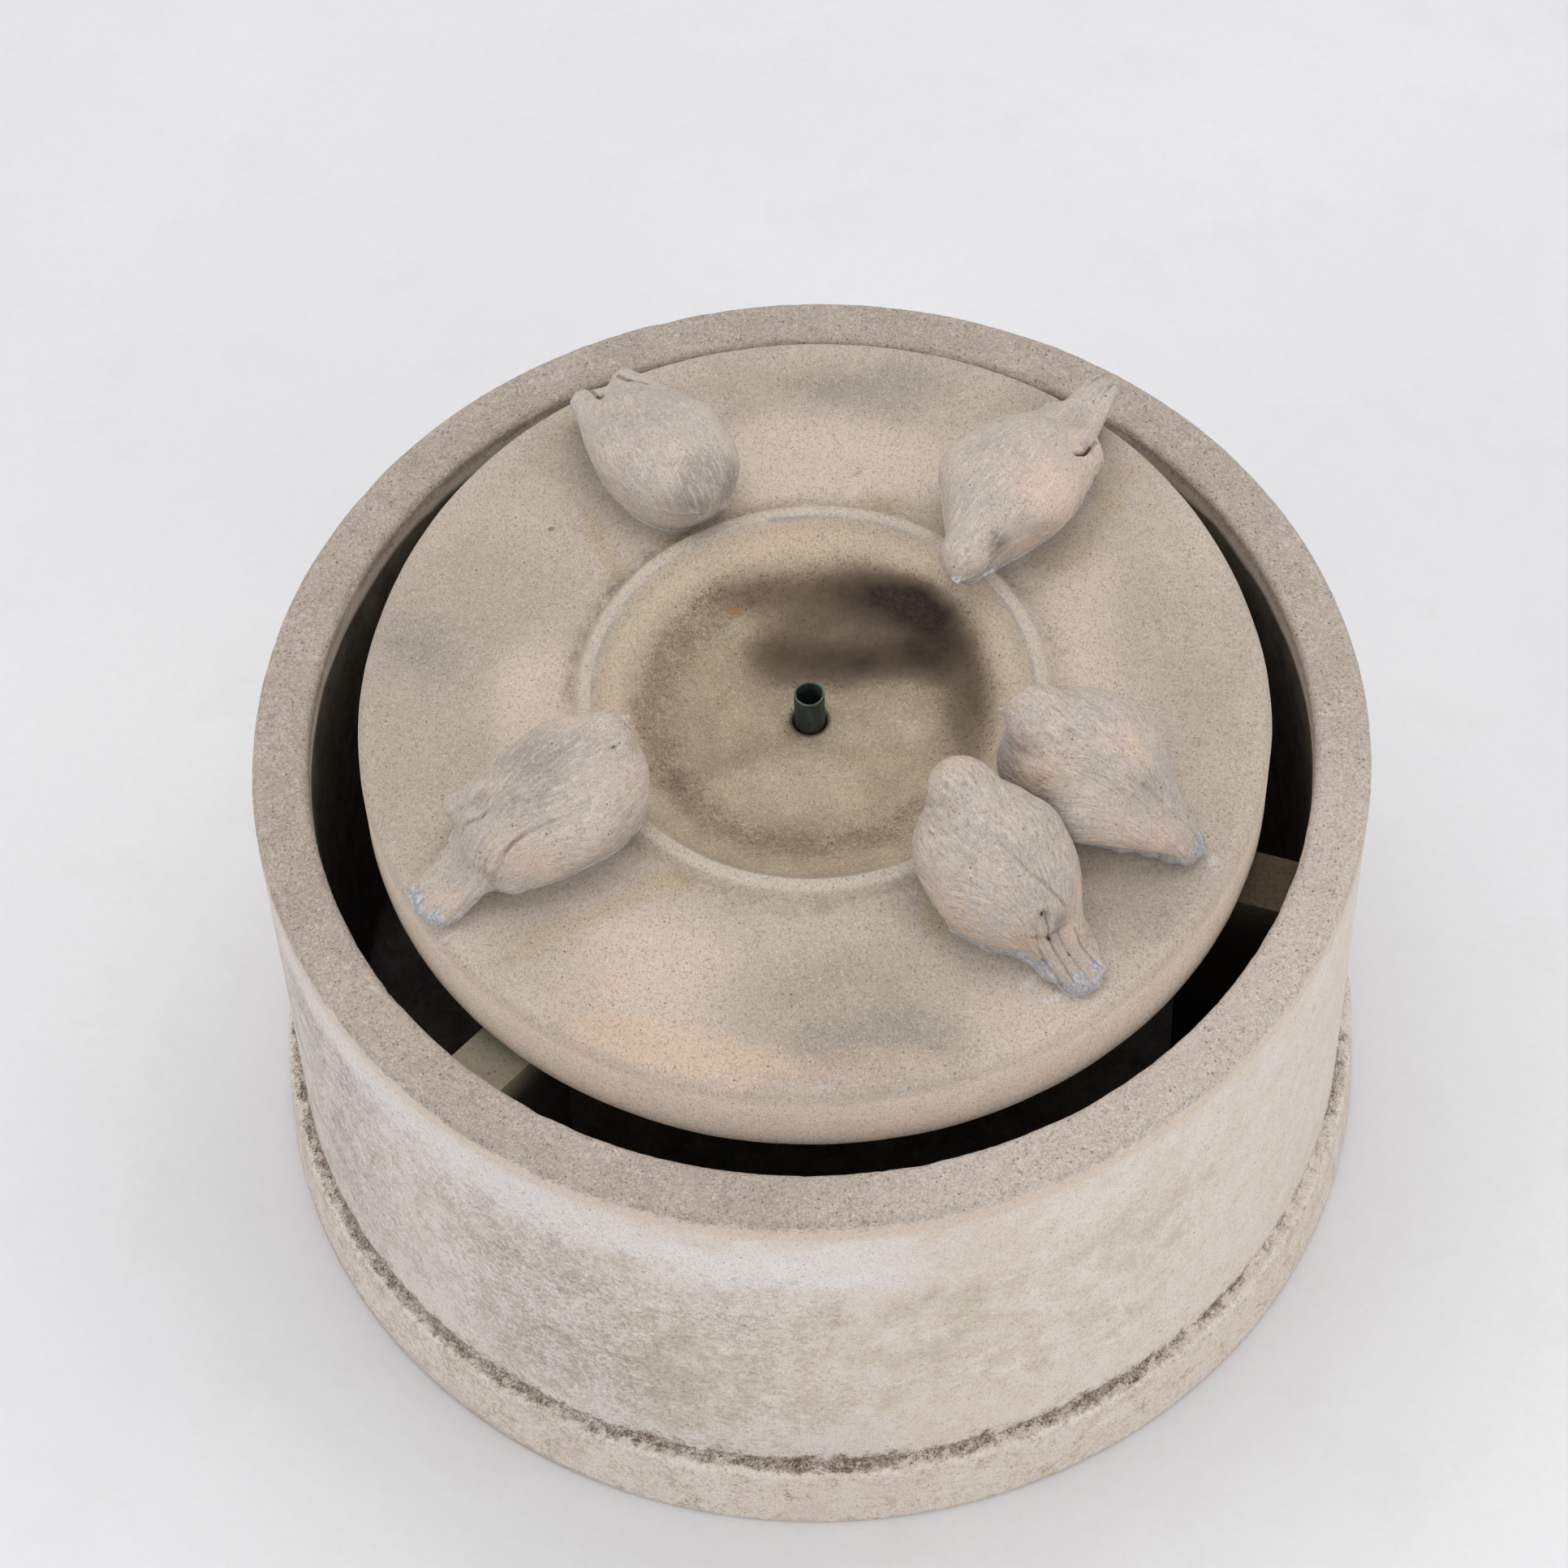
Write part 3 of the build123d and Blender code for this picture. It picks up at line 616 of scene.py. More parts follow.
def mat_copper():
    m = Mat("copper_verdigris_tube")
    big = m.noise(70.0, 4, 0.6)
    fine = m.noise(420.0, 4, 0.7)
    x, y, z = m.sep()
    streak = m.noise(1.0, 3, 0.6, vec=m.scaled(420, 420, 60))
    patina = m.ramp(m.add(m.mul(big, 0.6), m.mul(streak, 0.4)), [
        (0.32, lin(24, 26, 22)), (0.46, lin(36, 47, 40)), (0.58, lin(50, 70, 62)), (0.72, lin(78, 100, 92))])
    bare = lin(52, 42, 32)
    col = m.mix(m.rng(fine, 0.60, 0.74), patina, bare)
    edge = m.rng(z, 0.4855, 0.4872)
    col = m.mix(m.mul(edge, m.rng(fine, 0.35, 0.6, 0.3, 1.0)), col, lin(74, 96, 88))
    low = m.rng(z, 0.462, 0.454)
    col = m.mix(m.mul(low, 0.7), col, lin(46, 42, 32))
    return m.finish(col, m.rng(big, 0.3, 0.7, 0.55, 0.85), m.bump(m.add(fine, streak), 0.0004, 0.6), 0.15)


def mat_plastic(name, dark, light, rough=0.45, bump=0.00025, scale=900.0, dusty=0.25):
    m = Mat(name)
    n = m.noise(60.0, 4, 0.6)
    f = m.noise(scale, 3, 0.6)
    col = m.mix(m.rng(n, 0.35, 0.65), dark, light)
    col = m.mix(m.mul(m.rng(f, 0.55, 0.72), dusty), col, lin(150, 144, 130))
    return m.finish(col, m.rng(n, 0.3, 0.7, rough - 0.08, rough + 0.12), m.bump(f, bump, 0.5))


def mat_steel():
    m = Mat("steel_band_brushed")
    n = m.noise(1.0, 3, 0.6, vec=m.scaled(300, 300, 3000))
    s = m.noise(120, 4, 0.6)
    col = m.mix(m.rng(n, 0.3, 0.7), lin(150, 150, 148), lin(196, 196, 192))
    col = m.mix(m.mul(m.rng(s, 0.60, 0.75), 0.6), col, lin(132, 92, 62))
    return m.finish(col, m.rng(n, 0.3, 0.7, 0.28, 0.46), m.bump(n, 0.0001, 0.4), 0.9)


def mat_core():
    m = Mat("laminated_core_steel")
    x, y, z = m.sep()
    w = m.node("ShaderNodeTexWave", wave_type="BANDS", bands_direction="Z")
    w.inputs["Scale"].default_value = 300.0
    m.put(w.inputs["Vector"], m.P)
    n = m.noise(90, 4, 0.6)
    col = m.mix(m.rng(w.outputs["Fac"], 0.2, 0.8), lin(70, 68, 66), lin(112, 108, 104))
    col = m.mix(m.mul(m.rng(n, 0.58, 0.72), 0.5), col, lin(108, 74, 52))
    return m.finish(col, 0.55, m.bump(w.outputs["Fac"], 0.0002, 0.5), 0.7)


def mat_coil():
    m = Mat("wound_copper_wire")
    w = m.node("ShaderNodeTexWave", wave_type="BANDS", bands_direction="X")
    w.inputs["Scale"].default_value = 420.0
    m.put(w.inputs["Vector"], m.P)
    n = m.noise(120, 3, 0.6)
    col = m.mix(m.rng(w.outputs["Fac"], 0.1, 0.9), lin(96, 48, 24), lin(196, 112, 62))
    col = m.mix(m.mul(m.rng(n, 0.55, 0.7), 0.4), col, lin(120, 66, 34))
    return m.finish(col, 0.35, m.bump(w.outputs["Fac"], 0.0004, 0.8), 0.8)


def mat_tube():
    m = Mat("vinyl_tube")
    n = m.noise(80, 4, 0.6)
    s = m.noise(1.0, 3, 0.6, vec=m.scaled(150, 150, 30))
    col = m.mix(m.rng(n, 0.35, 0.65), lin(150, 158, 148), lin(178, 184, 172))
    col = m.mix(m.mul(m.rng(s, 0.5, 0.7), 0.5), col, lin(112, 118, 92))
    m.bsdf.inputs["Coat Weight"].default_value = 0.4
    return m.finish(col, 0.3, m.bump(n, 0.0003, 0.3))


def mat_floor():
    m = Mat("painted_floor")
    big = m.noise(1.1, 6, 0.6)
    mid = m.noise(9.0, 6, 0.65)
    fine = m.noise(120.0, 5, 0.7)
    col = m.mix(m.rng(big, 0.35, 0.65), lin(214, 214, 217), lin(221, 221, 223))
    col = m.mix(m.mul(m.rng(mid, 0.52, 0.70), 0.30), col, lin(205, 204, 205))
    col = m.mix(m.mul(m.rng(fine, 0.45, 0.75), 0.20), col, lin(203, 202, 202))
    return m.finish(col, 0.85, m.bump(m.add(m.mul(fine, 0.5), mid), 0.0012, 0.25), spec=0.15)


# ------------------------------------------------------------------ sizes shared by the stone pieces (mm)
TOP_CX = 3.0
DECK = [(13.0, 453.5, 0), (60, 455.0, 60), (118, 462.0, 60), (153, 479.0, 4), (161.5, 487.6, 1.6), (170.5, 486.8, 4),
        (176.5, 477.0, 3), (332, 472.0, 12), (331, 406.0, 3), (321, 396.0, 3), (13.0, 396.0, 0)]


def deck_height(r):
    """Height of the top's upper face at radius r (mm)."""
    rr = [d[0] for d in DECK[:8]]
    zz = [d[1] for d in DECK[:8]]
    return np.interp(r, rr, zz)


def blob(p, cx, cy, rx, ry=None, ang=0.0, soft=0.55):
    """Soft-edged patch in plan: 1 in the middle, 0 outside (mm)."""
    ry = ry or rx
    c, s = math.cos(math.radians(ang)), math.sin(math.radians(ang))
    x, y = p[:, 0] - cx, p[:, 1] - cy
    u = (x * c + y * s) / rx
    v = (-x * s + y * c) / ry
    d = np.sqrt(u * u + v * v)
    return 1 - sstep(1 - soft, 1 + soft, d)


# ------------------------------------------------------------------ basin
def build_basin():
    nseg = 512
    r_floor = 300.0
    line = rounded([
        (r_floor, 0, 0, 12), (419.6, 0, 3, 12), (416.2, 68.5, 5, 5), (405.2, 70.5, 5, 2.4), (409.6, 430, 8, 5.5),
        (368, 430, 6, 3.0), (360, 50, 14, 12), (r_floor, 50, 0, 12)], 5)
    v, q = lathe_grid(line, nseg)
    rad = np.hypot(v[:, 0], v[:, 1])
    rim_zone = sstep(423.0, 428.0, v[:, 2])
    # floor and underside with the drain hole
    dx, dy, dr = -170.0, 120.0, 15.3
    hole_n = 48
    verts = [tuple(c) for c in v]
    faces = [tuple(f) for f in q]
    n = len(line)
    hole_rings = []
    for ring, z, flip in ((n - 1, 50.0, False), (0, 0.0, True)):
        outer = list(range(ring * nseg, (ring + 1) * nseg))
        start = len(verts)
        for k in range(hole_n):
            a = 2 * math.pi * k / hole_n
            verts.append((dx + dr * math.cos(a), dy + dr * math.sin(a), z))
        hole = list(range(start, start + hole_n))
        hole_rings.append(hole)
        # scattered inner points keep the floor evenly meshed
        inner = []
        for gx in np.arange(-285, 286, 22.0):
            for gy in np.arange(-285, 286, 22.0):
                if math.hypot(gx, gy) < r_floor - 12 and math.hypot(gx - dx, gy - dy) > dr + 12:
                    inner.append(len(verts))
                    verts.append((gx, gy, z))
        from mathutils.geometry import delaunay_2d_cdt
        ids = outer + hole + inner
        pts = [Vector(verts[i][:2]) for i in ids]
        no, nh = len(outer), len(hole)
        edges = [(i, (i + 1) % no) for i in range(no)] + [(no + i, no + (i + 1) % nh) for i in range(nh)]
        res = delaunay_2d_cdt(pts, edges, [], 1, 1e-6)
        vo, fo, orig = res[0], res[2], res[3]
        for f in fo:
            c = sum((vo[i] for i in f), Vector((0, 0))) / len(f)
            if math.hypot(c.x - dx, c.y - dy) < dr * 0.999 and all(
                    math.hypot(vo[i].x - dx, vo[i].y - dy) < dr * 1.001 for i in f):
                continue
            tri = [ids[orig[i][0]] for i in f]
            a, b, c3 = (Vector(verts[t]) for t in tri[:3])
            up = (b - a).cross(c3 - a).z > 0
            if up == flip:
                tri.reverse()
            faces.append(tuple(tri))
    for k in range(hole_n):
        k2 = (k + 1) % hole_n
        faces.append((hole_rings[0][k], hole_rings[0][k2], hole_rings[1][k2], hole_rings[1][k]))
    ob = new_object("basin_stone", np.array(verts), faces)
    bm = bmesh.new()
    bm.from_mesh(ob.data)
    bmesh.ops.recalc_face_normals(bm, faces=bm.faces)
    bm.to_mesh(ob.data)
    bm.free()
    co = coords(ob)
    nr = normals(ob)
    rad = np.hypot(co[:, 0], co[:, 1])
    th = np.arctan2(co[:, 1], co[:, 0])
    z = co[:, 2]
    outer = (rad > 395).astype(float)
    low = fbm(co / 90.0, 3, 1) * 0.9 + fbm(co / 28.0, 3, 2) * 0.30
    fine = fbm(co / 6.5, 3, 3)
    rim = sstep(421, 428, z) * (rad > 360)
    amp = 0.12 + 0.55 * rim
    d = low * (z > 3) * (0.4 + 0.6 * outer) + fine * amp * (z > 3)
    # worn, chipped arrises on the rim
    chip = np.clip(fbm(co / 14.0, 3, 7) - 0.18, 0, 1) * 6.0 + np.clip(fbm(co / 45.0, 2, 8) - 0.22, 0, 1) * 8.0
    inner_edge = np.exp(-((rad - 369.5) / 4.0) ** 2 - ((z - 428.5) / 5.0) ** 2)
    outer_edge = np.exp(-((rad - 407.5) / 4.0) ** 2 - ((z - 428.0) / 5.0) ** 2)
    d -= chip * (inner_edge * 0.9 + outer_edge * 0.35)
    # plinth arris wear and the rough mortar-like bead on the ledge
    plinth_edge = np.exp(-((rad - 415.5) / 3.5) ** 2 - ((z - 67.0) / 4.0) ** 2)
    d -= chip * plinth_edge * 0.7
    ledge = np.exp(-((z - 71.0) / 5.0) ** 2) * (rad > 400)
    d += ledge * fbm(co / 5.0, 3, 11) * 0.8
    # rim hollows: it dips a little between its two edges
    d -= rim * np.exp(-((rad - 389) / 14.0) ** 2) * 0.5
    co2 = co + nr * d[:, None]
    co2[:, 2] = np.maximum(co2[:, 2], 0.0)
    far = sstep(60, 340, co[:, 1]) * sstep(250, 425, z)
    co2[:, 2] += 2.6 * far
    co2[:, :2] *= (1 + 0.0035 * far)[:, None]
    set_coords(ob, co2 * MM)
    # painted masks
    big = fbm(co / 120.0, 3, 21)
    med = fbm(co / 45.0, 3, 22)
    deg = np.degrees(th)

    def sector(c, w, soft=18.0):
        dd = np.abs((deg - c + 180) % 360 - 180)
        return 1 - sstep(w, w + soft, dd)

    wall = (rad > 398) & (z > 74)
    green = sstep(0.02, 0.35, big + med * 0.6) * 0.75 * (1 - sstep(300, 390, z))
    green += (sector(-62, 10, 14) * sstep(60, 130, z) * (1 - sstep(250, 330, z))) * (0.35 + med)
    green += (sector(-98, 16, 14) * sstep(60, 130, z) * (1 - sstep(250, 340, z))) * (0.35 + med)
    green += sector(-130, 14, 16) * (1 - sstep(200, 300, z)) * 0.6
    lilac = sector(-160, 34, 26) * sstep(-0.15, 0.25, med + 0.4 * big) * 0.95
    lilac += sector(-12, 26, 18) * sstep(0.0, 0.3, med) * 0.5
    dark = sector(-172, 12, 12) * sstep(0.10, 0.40, med + 0.3 * big) * (1 - sstep(320, 400, z)) * 0.45
    bloomz = sstep(345, 400, z + 26 * med) * (1 - rim * 0.9)
    bloom = bloomz * (0.45 + 0.55 * np.maximum(sector(-90, 62, 30), 0.35))
    warm = sstep(0.05, 0.4, -big + 0.3 * med) * 0.8
    ledged = np.exp(-((z - 71.5) / 4.5) ** 2) * (rad > 402) * 0.95
    ledged += np.exp(-((z - 78.0) / 10.0) ** 2) * (rad > 402) * 0.45 * (0.6 + med)
    ledged += np.exp(-((z - 2.0) / 5.0) ** 2) * (rad > 410) * 0.5
    rimm = sstep(409, 431, z + 3.0 * fbm(co / 14.0, 2, 31)) * (rad > 362)
    rimm = np.maximum(rimm, (np.abs(rad - 366) < 6) * sstep(405, 428, z))
    # inner wall mask: dark water film plus painted shade in the reservoir
    innerm = ((rad < 374) * (1 - sstep(388, 424, z + 7 * med))) * (z > 3)
    green = sstep(0.0, 0.5, big + med * 0.5) * 0.55 * (1 - sstep(300, 400, z))
    green += sector(-66, 13, 14) * sstep(80, 170, z) * (1 - sstep(300, 385, z)) * 0.50
    green += sector(-98, 9, 9) * sstep(80, 140, z) * (1 - sstep(250, 330, z)) * 0.45
    green += sector(-118, 12, 12) * (1 - sstep(210, 330, z)) * 0.45
    lilac = sector(-150, 24, 26) * 0.75 + sector(-118, 26, 18) * (1 - sstep(120, 190, z)) * 0.75
    lilac += sector(-20, 22, 18) * 0.35 + 0.15
    mott = sector(-132, 16, 18) * 0.44 * sstep(70, 150, z) * (1 - sstep(330, 410, z))
    mott += sector(-165, 14, 14) * 0.48 * (1 - sstep(340, 410, z)) + sector(-110, 12, 16) * 0.34 * (1 - sstep(280, 370, z))
    mott += sector(-96, 5, 6) * 0.25 * sstep(220, 280, z) * (1 - sstep(330, 380, z)) + 0.16
    bloom = np.exp(-((z + 26 * med + 12 * big - 370) / 34.0) ** 2) * (0.22 + 0.72 * sector(-112, 24, 20)
                                                                  + 0.50 * sector(-150, 20, 20) + 0.20 * sector(-48, 16, 20))
    bloom += sector(-94, 7, 8) * np.exp(-((z - 335) / 34.0) ** 2) * 0.45
    warm = 0.35 + 0.55 * sector(-84, 10, 10) + 0.35 * sector(-52, 20, 20) + 0.25 * big
    warm += 0.35 * np.exp(-((z - 35) / 30.0) ** 2)
    peachline = np.exp(-((z - 413) / 9.0) ** 2) * (rad > 400) * 0.9
    crumbs = fbm(co / 4.0, 3, 35) + 0.8 * fbm(co / 13.0, 3, 36)
    ledged = np.exp(-((z - 72.4) / 3.8) ** 2) * (rad > 402) * np.clip(0.98 + 0.8 * crumbs, 0.42, 1.25)
    ledged += np.exp(-((z - 79.0) / 8.0) ** 2) * (rad > 402) * (rad < 411) * np.clip(0.34 + 1.0 * crumbs, 0, 0.9)
    ledged += np.exp(-((rad - 413) / 3.0) ** 2) * (z > 64) * (z < 74) * np.clip(0.10 + 0.9 * crumbs, 0, 0.7)
    ledged *= 1 - sstep(409, 417, rad) * 0.45
    ledged *= 0.92 + 0.30 * sector(-128, 34, 30) + 0.25 * sector(-70, 16, 16) - 0.30 * sector(-32, 8, 20)
    low = np.exp(-((z - 2.0) / 6.0) ** 2) * (rad > 410) * 0.75 + sector(-140, 16, 16) * (z < 66) * (rad > 410) * 0.40
    light = sector(-45, 26, 26) * 0.9 + 0.25 * sector(0, 20, 40)
    attr(ob, "zone", (rimm, ledged, innerm, bloom * (rad > 395)))
    attr(ob, "stain", (np.clip(green, 0, 1) * wall, lilac * wall, dark * wall, warm * (rad > 395)))
    plinth = (rad > 411) & (z < 70)
    mottp = (0.30 + 0.25 * sector(-140, 20, 20) + 0.22 * np.exp(-((z - 60) / 10.0) ** 2)) * plinth
    attr(ob, "tint", (mott * wall + mottp, peachline, light, low))
    ob.data.materials.append(mat_basin())
    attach(ob, "basin")
    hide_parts("basin")
    return ob


# ------------------------------------------------------------------ top bowl
def build_top():
    nseg = 480
    steps = [3.0, 3.2, 2.6, 2.0, 1.6, 2.0, 1.8, 2.9, 4.5, 3.0, 14.0]
    pts = [(*d, s) for d, s in zip(DECK, steps)]
    line = rounded(pts, 3.0)
    v, q = lathe_grid(line, nseg)
    r0 = np.hypot(v[:, 0], v[:, 1])
    # closed pipe hole
    n = len(line)
    wall = [((n - 1) * nseg + k, (n - 1) * nseg + (k + 1) % nseg, (k + 1) % nseg, k) for k in range(nseg)]
    v[:, 0] += TOP_CX * sstep(20, 110, r0)
    ob = new_object("top_bowl_stone", v, [tuple(f) for f in q] + wall)
    bm = bmesh.new()
    bm.from_mesh(ob.data)
    bmesh.ops.recalc_face_normals(bm, faces=bm.faces)
    bm.to_mesh(ob.data)
    bm.free()
    co = coords(ob)
    nr = normals(ob)
    x, y, z = co[:, 0] - TOP_CX, co[:, 1], co[:, 2]
    rad = np.hypot(x, y)
    body = sstep(15, 30, rad)
    low = fbm(co / 95.0, 3, 41) * 1.0 + fbm(co / 26.0, 3, 42) * 0.28
    fine = fbm(co / 6.0, 3, 43) * 0.14
    edge = np.exp(-((rad - 330) / 5.0) ** 2 - ((z - 469) / 6.0) ** 2)
    chip = np.clip(fbm(co / 16.0, 3, 47) - 0.26, 0, 1) * 5.0
    rough_bowl = (rad < 150) * fbm(co / 11.0, 3, 49) * 0.22
    beadm = np.exp(-((rad - 166) / 8.0) ** 2) * (z > 470)
    d = (low + fine + rough_bowl) * body - chip * edge - beadm * np.clip(fbm(co / 12.0, 3, 53) - 0.12, 0, 1) * 1.6
    co2 = co + nr * d[:, None]
    far = sstep(60, 300, y) * sstep(285, 330, rad)
    co2[:, 2] += 5.0 * far * sstep(430, 465, z)
    co2[:, :2] *= (1 + 0.009 * far)[:, None]
    arris = np.exp(-((rad - 329) / 5.0) ** 2 - ((z - 468) / 5.0) ** 2) * sstep(60, 300, y)
    co2 += nr * (arris * 2.2)[:, None]
    set_coords(ob, co2 * MM)
    # painted masks in plan
    wx = fbm(co / 38.0, 4, 61) * 16 + fbm(co / 12.0, 3, 62) * 5
    wy = fbm(co / 38.0 + 9.1, 4, 63) * 16 + fbm(co / 12.0 + 5.3, 3, 64) * 5
    p = co.copy()
    p[:, 0] += wx
    p[:, 1] += wy
    up = z > 440
    grey_stain_and_bird_shadow = 0.62 * blob(p, -248, 96, 78, 62, 30) + 0.50 * blob(p, -290, 20, 44, 66, 0)
    grey_stain_and_bird_shadow += 0.85 * blob(p, 60, 293, 64, 27, 0) + 0.35 * blob(p, -40, 300, 60, 30, 0)
    grey_stain_and_bird_shadow += 0.72 * blob(p, 4, -262, 88, 44, 0) + 0.55 * blob(p, 46, -298, 70, 30, 8)
    grey_stain_and_bird_shadow += 0.50 * blob(p, 268, 52, 56, 60, 0) + 0.25 * blob(p, 292, -40, 30, 60, 0)
    # the small patches next to the birds are painted shadows of the birds; the larger ones near the rim are stains
    grey_stain_and_bird_shadow += 0.75 * blob(p, 232, -182, 58, 26, 28) + 0.5 * blob(p, 70, -172, 18, 26, 0)
    grey_stain_and_bird_shadow += 0.55 * blob(p, -176, 236, 26, 44, 20) + 0.4 * blob(p, -60, 142, 40, 16, -30)
    grey_stain_and_bird_shadow += 0.45 * blob(p, 196, 262, 40, 26, -30) + 0.5 * blob(p, 150, 78, 26, 14, 30)
    grey_stain_and_bird_shadow += 0.35 * blob(p, -200, -190, 70, 34, -38) + 0.25 * blob(p, -304, -100, 26, 70, 20)
    cream = 1.1 * blob(p, 0, 218, 120, 38, 0) + 0.7 * blob(p, -200, 10, 30, 80, 0) + 0.6 * blob(p, 205, 60, 30, 90, 0)
    cream += 0.7 * blob(p, -110, -230, 90, 46, -30) + 0.5 * blob(p, 150, -270, 60, 40, 30)
    # bowl: pale lime towards the back and the left lip
    cream = np.where(rad < 161, 1.0 * sstep(116, 152, rad) * sstep(-0.5, 0.4, (y + 0.6 * np.abs(x) - 0.2 * x) / 150), cream)
    cream = np.where(rad < 152, cream + 0.50 * blob(p, -6, -62, 46, 30, 0) + 0.12 * blob(p, -60, 20, 34, 40, 0)
                     + 0.30 * blob(p, 60, -10, 40, 22, 0), cream)
    orange = 0.55 * blob(p, -100, -292, 84, 22, -14) + 0.35 * blob(p, 40, -306, 60, 14, 0) + 0.22 * blob(p, -160, -240, 40, 30, -30)
    soft = p * 1.0
    soft[:, 0] = co[:, 0] + 0.45 * wx
    soft[:, 1] = co[:, 1] + 0.45 * wy
    brown = 1.40 * blob(soft, 78, 104, 46, 27, -12, 0.95) + 1.30 * blob(soft, -2, 62, 42, 22, 4, 0.95)
    brown += 1.35 * blob(soft, 48, 44, 44, 19, 4, 0.95)
    brown += 0.85 * blob(soft, 84, 74, 34, 30, 24, 0.95) + 0.95 * blob(soft, 106, 44, 25, 52, 8, 0.95)
    brown += 0.62 * blob(soft, 120, -8, 22, 46, 6, 0.95) + 1.20 * blob(soft, 12, 106, 64, 20, -4, 0.95)
    brown += 0.28 * blob(soft, -60, 108, 32, 15, 10, 0.95) + 0.42 * blob(soft, -26, 40, 18, 30, -10, 0.95)
    brown += 0.34 * blob(soft, -56, -34, 48, 9, 28, 0.9) + 0.34 * blob(soft, 112, -52, 22, 32, 20, 0.95)
    brown += 0.40 * blob(soft, -98, -66, 24, 18, -40, 0.9) + 0.30 * blob(soft, -92, 20, 22, 46, 0, 0.95)
    brown += 0.26 * blob(soft, -10, -112, 70, 12, 0, 0.95)
    brown += 0.70 * blob(p, 0, 0, 16, 16, 0, 0.5)
    # the lit lobe right of the pipe stays paler
    brown *= 1 - 0.45 * blob(soft, 62, 10, 36, 20, 0, 0.8)
    brown *= 1 - sstep(118, 154, rad + 0.6 * wx)
    ringd = np.exp(-((rad - 118) / 16.0) ** 2)
    ang = np.degrees(np.arctan2(y, x))

    def sector(c, w, soft=25.0):
        dd = np.abs((ang - c + 180) % 360 - 180)
        return 1 - sstep(w, w + soft, dd)

    dirt = ringd * (0.82 * sector(-90, 42) + 0.85 * sector(165, 36) + 0.35 * sector(60, 60)) + 0.22 * (rad < 140)
    dirt = dirt * (0.6 + 0.8 * (fbm(co / 16.0, 3, 71) + 0.5))
    gv = fbm(co / 40.0, 3, 73)
    # painted shade lines: the bead's inner edge and the groove at its outer foot
    bead_inner_edge_shade = np.exp(-((rad - 160.4) / 1.5) ** 2) * np.clip(0.75 + 1.1 * gv, 0.15, 1)
    bead_groove_shade = np.exp(-((rad - 179.0) / 3.8) ** 2) * np.clip(0.35 + 1.1 * gv + 0.6 * sector(150, 40, 20), 0.05, 1) + np.exp(-((rad - 184) / 8.0) ** 2) * np.clip(0.15 + gv, 0, 0.4)
    rust = blob(co, -53.5, 95, 7, 3.6, -12, 0.5) + 0.7 * blob(co, 122, 62, 5, 3.4, 30, 0.6)
    attr(ob, "line", (bead_inner_edge_shade * (z > 470), bead_groove_shade * (z > 470), rust * (rad < 150), 0 * z))
    # mask of the underside and the pipe hole, which get painted shade
    under = np.maximum(1 - sstep(399, 408, z + 4 * fbm(co / 14.0, 2, 75)), (rad < 12.5) * 1.0)
    under = np.maximum(under, (np.hypot(co[:, 0], co[:, 1]) < 13.4) * 1.0)
    bead = np.exp(-((rad - 166.5) / 6.5) ** 2) * (z > 472)
    # narrow paler line on the inner arris: painted highlight
    bead = np.maximum(bead, 1.6 * np.exp(-((rad - 161.8) / 1.4) ** 2) * (z > 480))
    scum = 0.75 * blob(co, 168, -256, 17, 4.5, 22) + 0.7 * blob(co, 150, -243, 15, 4.5, 40) + 0.45 * blob(co, 232, -149, 34, 4.0, -6)
    scum += 0.55 * blob(co, 190, -260, 12, 4, 0) + 0.6 * blob(co, 283, -146, 7, 8, 0) + 0.6 * blob(co, -285, -180, 10, 7, 0)
    scum += 0.5 * blob(co, -262, -190, 14, 4, 24) + 0.4 * blob(co, 116, -224, 26, 4, -20) + 0.3 * blob(p, 215, -228, 26, 16, 10)
    scum += 0.4 * blob(p, 160, 110, 12, 5, 20) + 0.3 * blob(p, -150, -196, 26, 10, -20)
    yellow = 0.8 * blob(p, -66, 142, 34, 12, -30) + 0.8 * blob(p, -150, 150, 12, 40, 18) + 0.75 * blob(p, 196, 132, 34, 16, 34)
    yellow += 0.6 * blob(p, 232, 186, 14, 30, -30) + 0.7 * blob(p, -120, -160, 40, 12, 20) + 0.6 * blob(p, -196, -196, 44, 14, 24)
    yellow += 0.7 * blob(p, 84, -190, 12, 26, 12) + 0.5 * blob(p, 200, -60, 60, 14, -8) + 0.5 * blob(p, 60, 175, 24, 14, 0)
    yellow += 0.5 * np.exp(-((rad - 184) / 9.0) ** 2) * (0.6 + fbm(co / 30.0, 2, 77))
    spot = 0.8 * blob(p, -186, 168, 4.5, 3.5, 20, 0.8) + 0.55 * blob(p, 38, 208, 11, 6, 10, 0.9) + 0.7 * blob(p, 226, -228, 3.5, 2.5, 0, 0.6)
    # band on the outer side of the top that gets painted light
    side_light_mask = sstep(322, 328, rad) * (1 - sstep(455, 468, z)) * sstep(402, 416, z)
    attr(ob, "tint", (scum * up, yellow * up * (rad > 148), side_light_mask, spot * up))
    attr(ob, "stain", (grey_stain_and_bird_shadow * up * (rad > 150), cream, brown / 3.0, orange))
    attr(ob, "zone", (bead, 1 - sstep(158.0, 161.5, rad), under, dirt * (rad < 158)))
    ob.data.materials.append(mat_top())
    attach(ob, "top")
    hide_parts("top_bowl")
    return ob


# ------------------------------------------------------------------ birds: distance fields turned into meshes
def smin(a, b, k):
    h = np.maximum(k - np.abs(a - b), 0.0) / k
    return np.minimum(a, b) - h * h * k * 0.25


